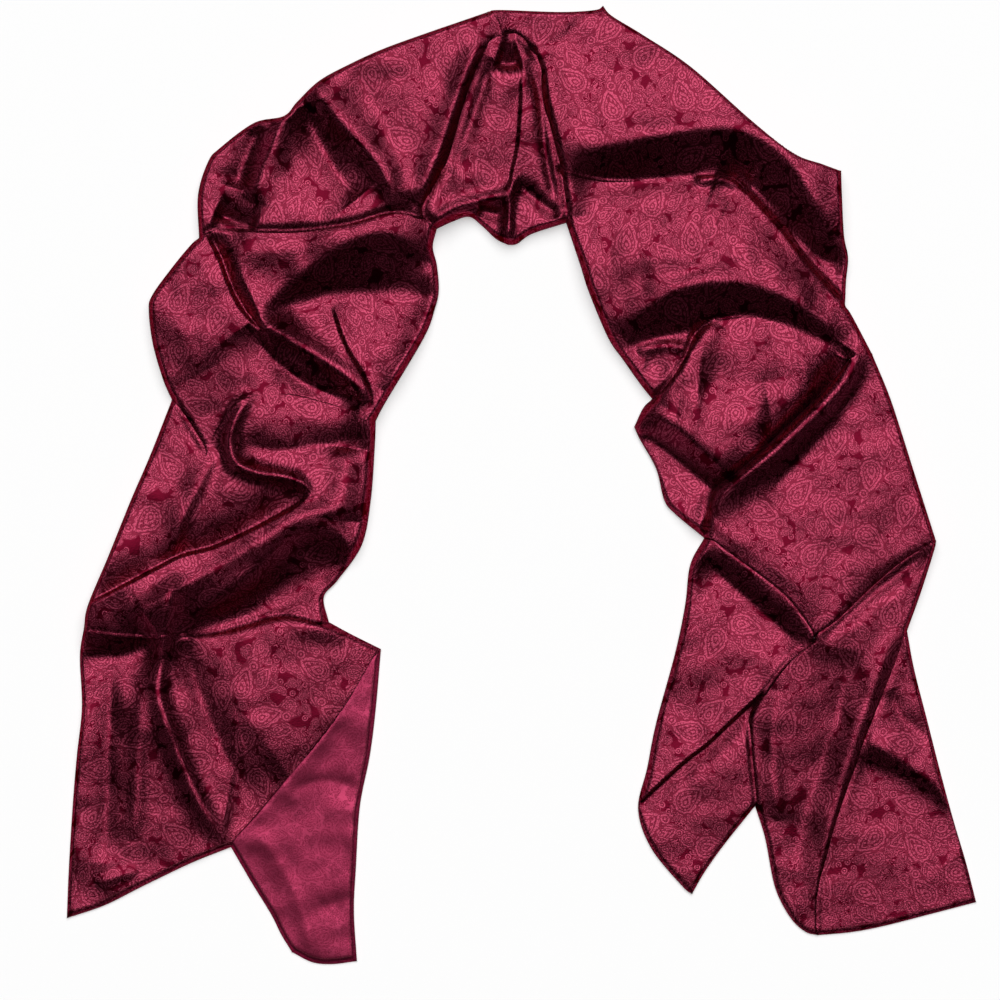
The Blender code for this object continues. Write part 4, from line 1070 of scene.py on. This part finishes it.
class SCARF_OT_underside(bpy.types.Operator):
    """Closes the heap underneath with the flat layers that lie on the table"""
    bl_idname = "scarf.underside"
    bl_label = "Flat underside"

    def execute(self, context):
        verts, faces, area = [], [], 0.0
        for name in STRETCHES:
            loop = outline(name, UNDERSIDE_STEP)[0]
            loop = inset(loop, np.full(len(loop), UNDERSIDE_INSET))
            triangles = fill(loop, [])
            first = len(verts)
            for z in (0.0, UNDERSIDE_THICK):
                verts += [(x, y, z) for x, y in loop]
            count = len(loop)
            faces += [[first + k for k in face[::-1]] for face in triangles]
            faces += [[first + count + k for k in face] for face in triangles]
            for k in range(count):
                after = (k + 1) % count
                faces.append([first + k, first + after, first + count + after, first + count + k])
            area += flat_area(np.array(loop), triangles)
        piece = new_piece("heap_underside", verts, faces)
        mesh = piece.data
        layer = mesh.uv_layers.new(name="cloth_layout")
        for corner in mesh.loops:
            place = mesh.vertices[corner.vertex_index].co
            layer.data[corner.index].uv = (place.x + UNDERSIDE_START, place.y)
        dress(piece, "satin_reverse_woven")
        return {"FINISHED"}


# Hems that show, by stretch
HEM_PARTS = {
    "left_flap": ["flap side", "flap hem", "flap selvedge"],
    "left_front": ["hem over flap", "front hem", "left selvedge"],
    "right_corner": ["corner hem", "corner side"],
    "right_tail": ["tail hem"],
}


# A stitch: places along it and their widths, as parts of its length and radius; its radius and
# how far it stands up; and how much of the hem's width lies clear of other edges
STITCH_SECTIONS = [(-0.5, 0.15), (-0.25, 0.9), (0.25, 0.9), (0.5, 0.15)]
STITCH_RADIUS = 0.28 * MM
STITCH_PROUD = 0.12 * MM
STITCH_ROOM = 0.9


class SCARF_OT_hem_stitches(bpy.types.Operator):
    """Sews the rows of small stitches along the narrow hems"""
    bl_idname = "scarf.hem_stitches"
    bl_label = "Hem stitches"

    def execute(self, context):
        sizes = context.scene.scarf_sizes
        for name, parts in HEM_PARTS.items():
            verts, faces = [], []
            loop = outline(name, CLOTH_STEP)[0]
            for part in parts:
                path = edge_path(part, sizes.stitch_pitch)
                way = np.gradient(path, axis=0)
                way /= np.linalg.norm(way, axis=1)[:, None]
                inward = np.stack([-way[:, 1], way[:, 0]], 1)
                half = len(path) // 2
                if not inside(loop, (path[half] + inward[half] * MM)[None])[0]:
                    inward = -inward
                middle = path + inward * sizes.hem_width
                keep = inside(loop, middle)
                gap = distance_to(np.vstack([loop, loop[:1]]), middle)[0]
                keep &= gap > STITCH_ROOM * sizes.hem_width
                height = cloth_shape(name, middle)[0]
                for place, ahead, side, z in zip(middle[keep], way[keep], inward[keep],
                                                 height[keep]):
                    add_stitch(verts, faces, place, ahead, side, z, sizes.stitch_length)
            piece = new_piece(name + "_stitches", verts, faces)
            piece.data.shade_smooth()
            dress(piece, "hem_thread")
        return {"FINISHED"}


def add_stitch(verts, faces, place, ahead, side, z, length):
    """A small rounded bead of thread, half sunk in the cloth."""
    first = len(verts)
    for along, wide in STITCH_SECTIONS:
        for k in range(4):
            angle = math.pi / 2 * k
            across = STITCH_RADIUS * wide * math.cos(angle)
            up = STITCH_RADIUS * wide * math.sin(angle)
            x, y = place + ahead * along * length + side * across
            verts.append((x, y, z + STITCH_PROUD + up))
    for row in range(len(STITCH_SECTIONS) - 1):
        for k in range(4):
            a, b = first + row * 4 + k, first + row * 4 + (k + 1) % 4
            faces.append([a, a + 4, b + 4, b])
    faces.append([first + k for k in range(4)])
    last = first + 4 * (len(STITCH_SECTIONS) - 1)
    faces.append([last + 3 - k for k in range(4)])


# Studio: plan units for the frame's middle, metres for distances
FRAME_MIDDLE = (500, 500)
FRAME_WIDTH_UNITS = 1000
CAMERA_DISTANCE = 4.0
SENSOR_MM = 36.0
KEY_AZIMUTH = 4.0
KEY_ELEVATION = 66.0
KEY_SPREAD = 58.0
KEY_STRENGTH = 2.70
WORLD_STRENGTH = 0.005
KEY_PLACE = (0.5, 2.5, 2.0)
FLOOR_SIZE = 14
FLOOR_DROP = 0.0004
FLOOR_GLOW = 0.30
FLOOR_TONE = 0.86
FLOOR_ROUGHNESS = 0.7


class SCARF_OT_studio(bpy.types.Operator):
    """Sets the pale table, the soft lights and the camera straight above"""
    bl_idname = "scarf.studio"
    bl_label = "Studio"

    def execute(self, context):
        scene = context.scene
        bpy.ops.mesh.primitive_plane_add(size=FLOOR_SIZE, location=(0, 0, -FLOOR_DROP))
        floor = context.active_object
        floor.name = "floor"
        pale = plain_material("pale_table", (FLOOR_TONE, FLOOR_TONE, FLOOR_TONE, 1.0),
                              FLOOR_ROUGHNESS)
        shader = pale.node_tree.nodes["Principled BSDF"]
        shader.inputs["Emission Color"].default_value = (1, 1, 1, 1)
        shader.inputs["Emission Strength"].default_value = FLOOR_GLOW
        floor.data.materials.append(pale)
        world = bpy.data.worlds.new("studio")
        world.use_nodes = True
        world.node_tree.nodes["Background"].inputs["Color"].default_value = (1, 1, 1, 1)
        world.node_tree.nodes["Background"].inputs["Strength"].default_value = WORLD_STRENGTH
        scene.world = world
        data = bpy.data.lights.new("key", "SUN")
        data.energy = KEY_STRENGTH
        data.angle = math.radians(KEY_SPREAD)
        key = bpy.data.objects.new("key", data)
        scene.collection.objects.link(key)
        key.location = KEY_PLACE
        key.rotation_euler = (math.radians(KEY_ELEVATION - 90), 0, math.radians(-KEY_AZIMUTH))
        middle = to_metres([FRAME_MIDDLE])[0]
        data = bpy.data.cameras.new("camera")
        camera = bpy.data.objects.new("camera", data)
        scene.collection.objects.link(camera)
        camera.location = (middle[0], middle[1], CAMERA_DISTANCE)
        camera.rotation_euler = (0, 0, 0)
        data.sensor_width = SENSOR_MM
        data.lens = SENSOR_MM * CAMERA_DISTANCE / (FRAME_WIDTH_UNITS * UNIT)
        data.clip_end = 50
        scene.camera = camera
        scene.view_settings.view_transform = "Standard"
        return {"FINISHED"}


class SCARF_PT_panel(bpy.types.Panel):
    """Lists the scarf's sizes, colours and steps."""
    bl_label = "Scarf"
    bl_idname = "SCARF_PT_panel"
    bl_space_type = "VIEW_3D"
    bl_region_type = "UI"
    bl_category = "Scarf"

    def draw(self, context):
        for group in (context.scene.scarf_sizes, context.scene.scarf_colours):
            for key in group.__annotations__:
                self.layout.prop(group, key)
        for step in STEPS:
            self.layout.operator(step.bl_idname)


STEPS = (SCARF_OT_hem_stitches, SCARF_OT_stretches, SCARF_OT_underside, SCARF_OT_studio)
CLASSES = (ScarfSizes, ScarfColours) + STEPS + (SCARF_PT_panel,)


def register():
    for item in CLASSES:
        bpy.utils.register_class(item)
    bpy.types.Scene.scarf_sizes = PointerProperty(type=ScarfSizes)
    bpy.types.Scene.scarf_colours = PointerProperty(type=ScarfColours)


def unregister():
    del bpy.types.Scene.scarf_colours
    del bpy.types.Scene.scarf_sizes
    for item in reversed(CLASSES):
        bpy.utils.unregister_class(item)


def main():
    register()
    bpy.ops.scarf.hem_stitches()
    bpy.ops.scarf.stretches()
    bpy.ops.scarf.underside()
    bpy.ops.scarf.studio()


if __name__ == "__main__":
    main()
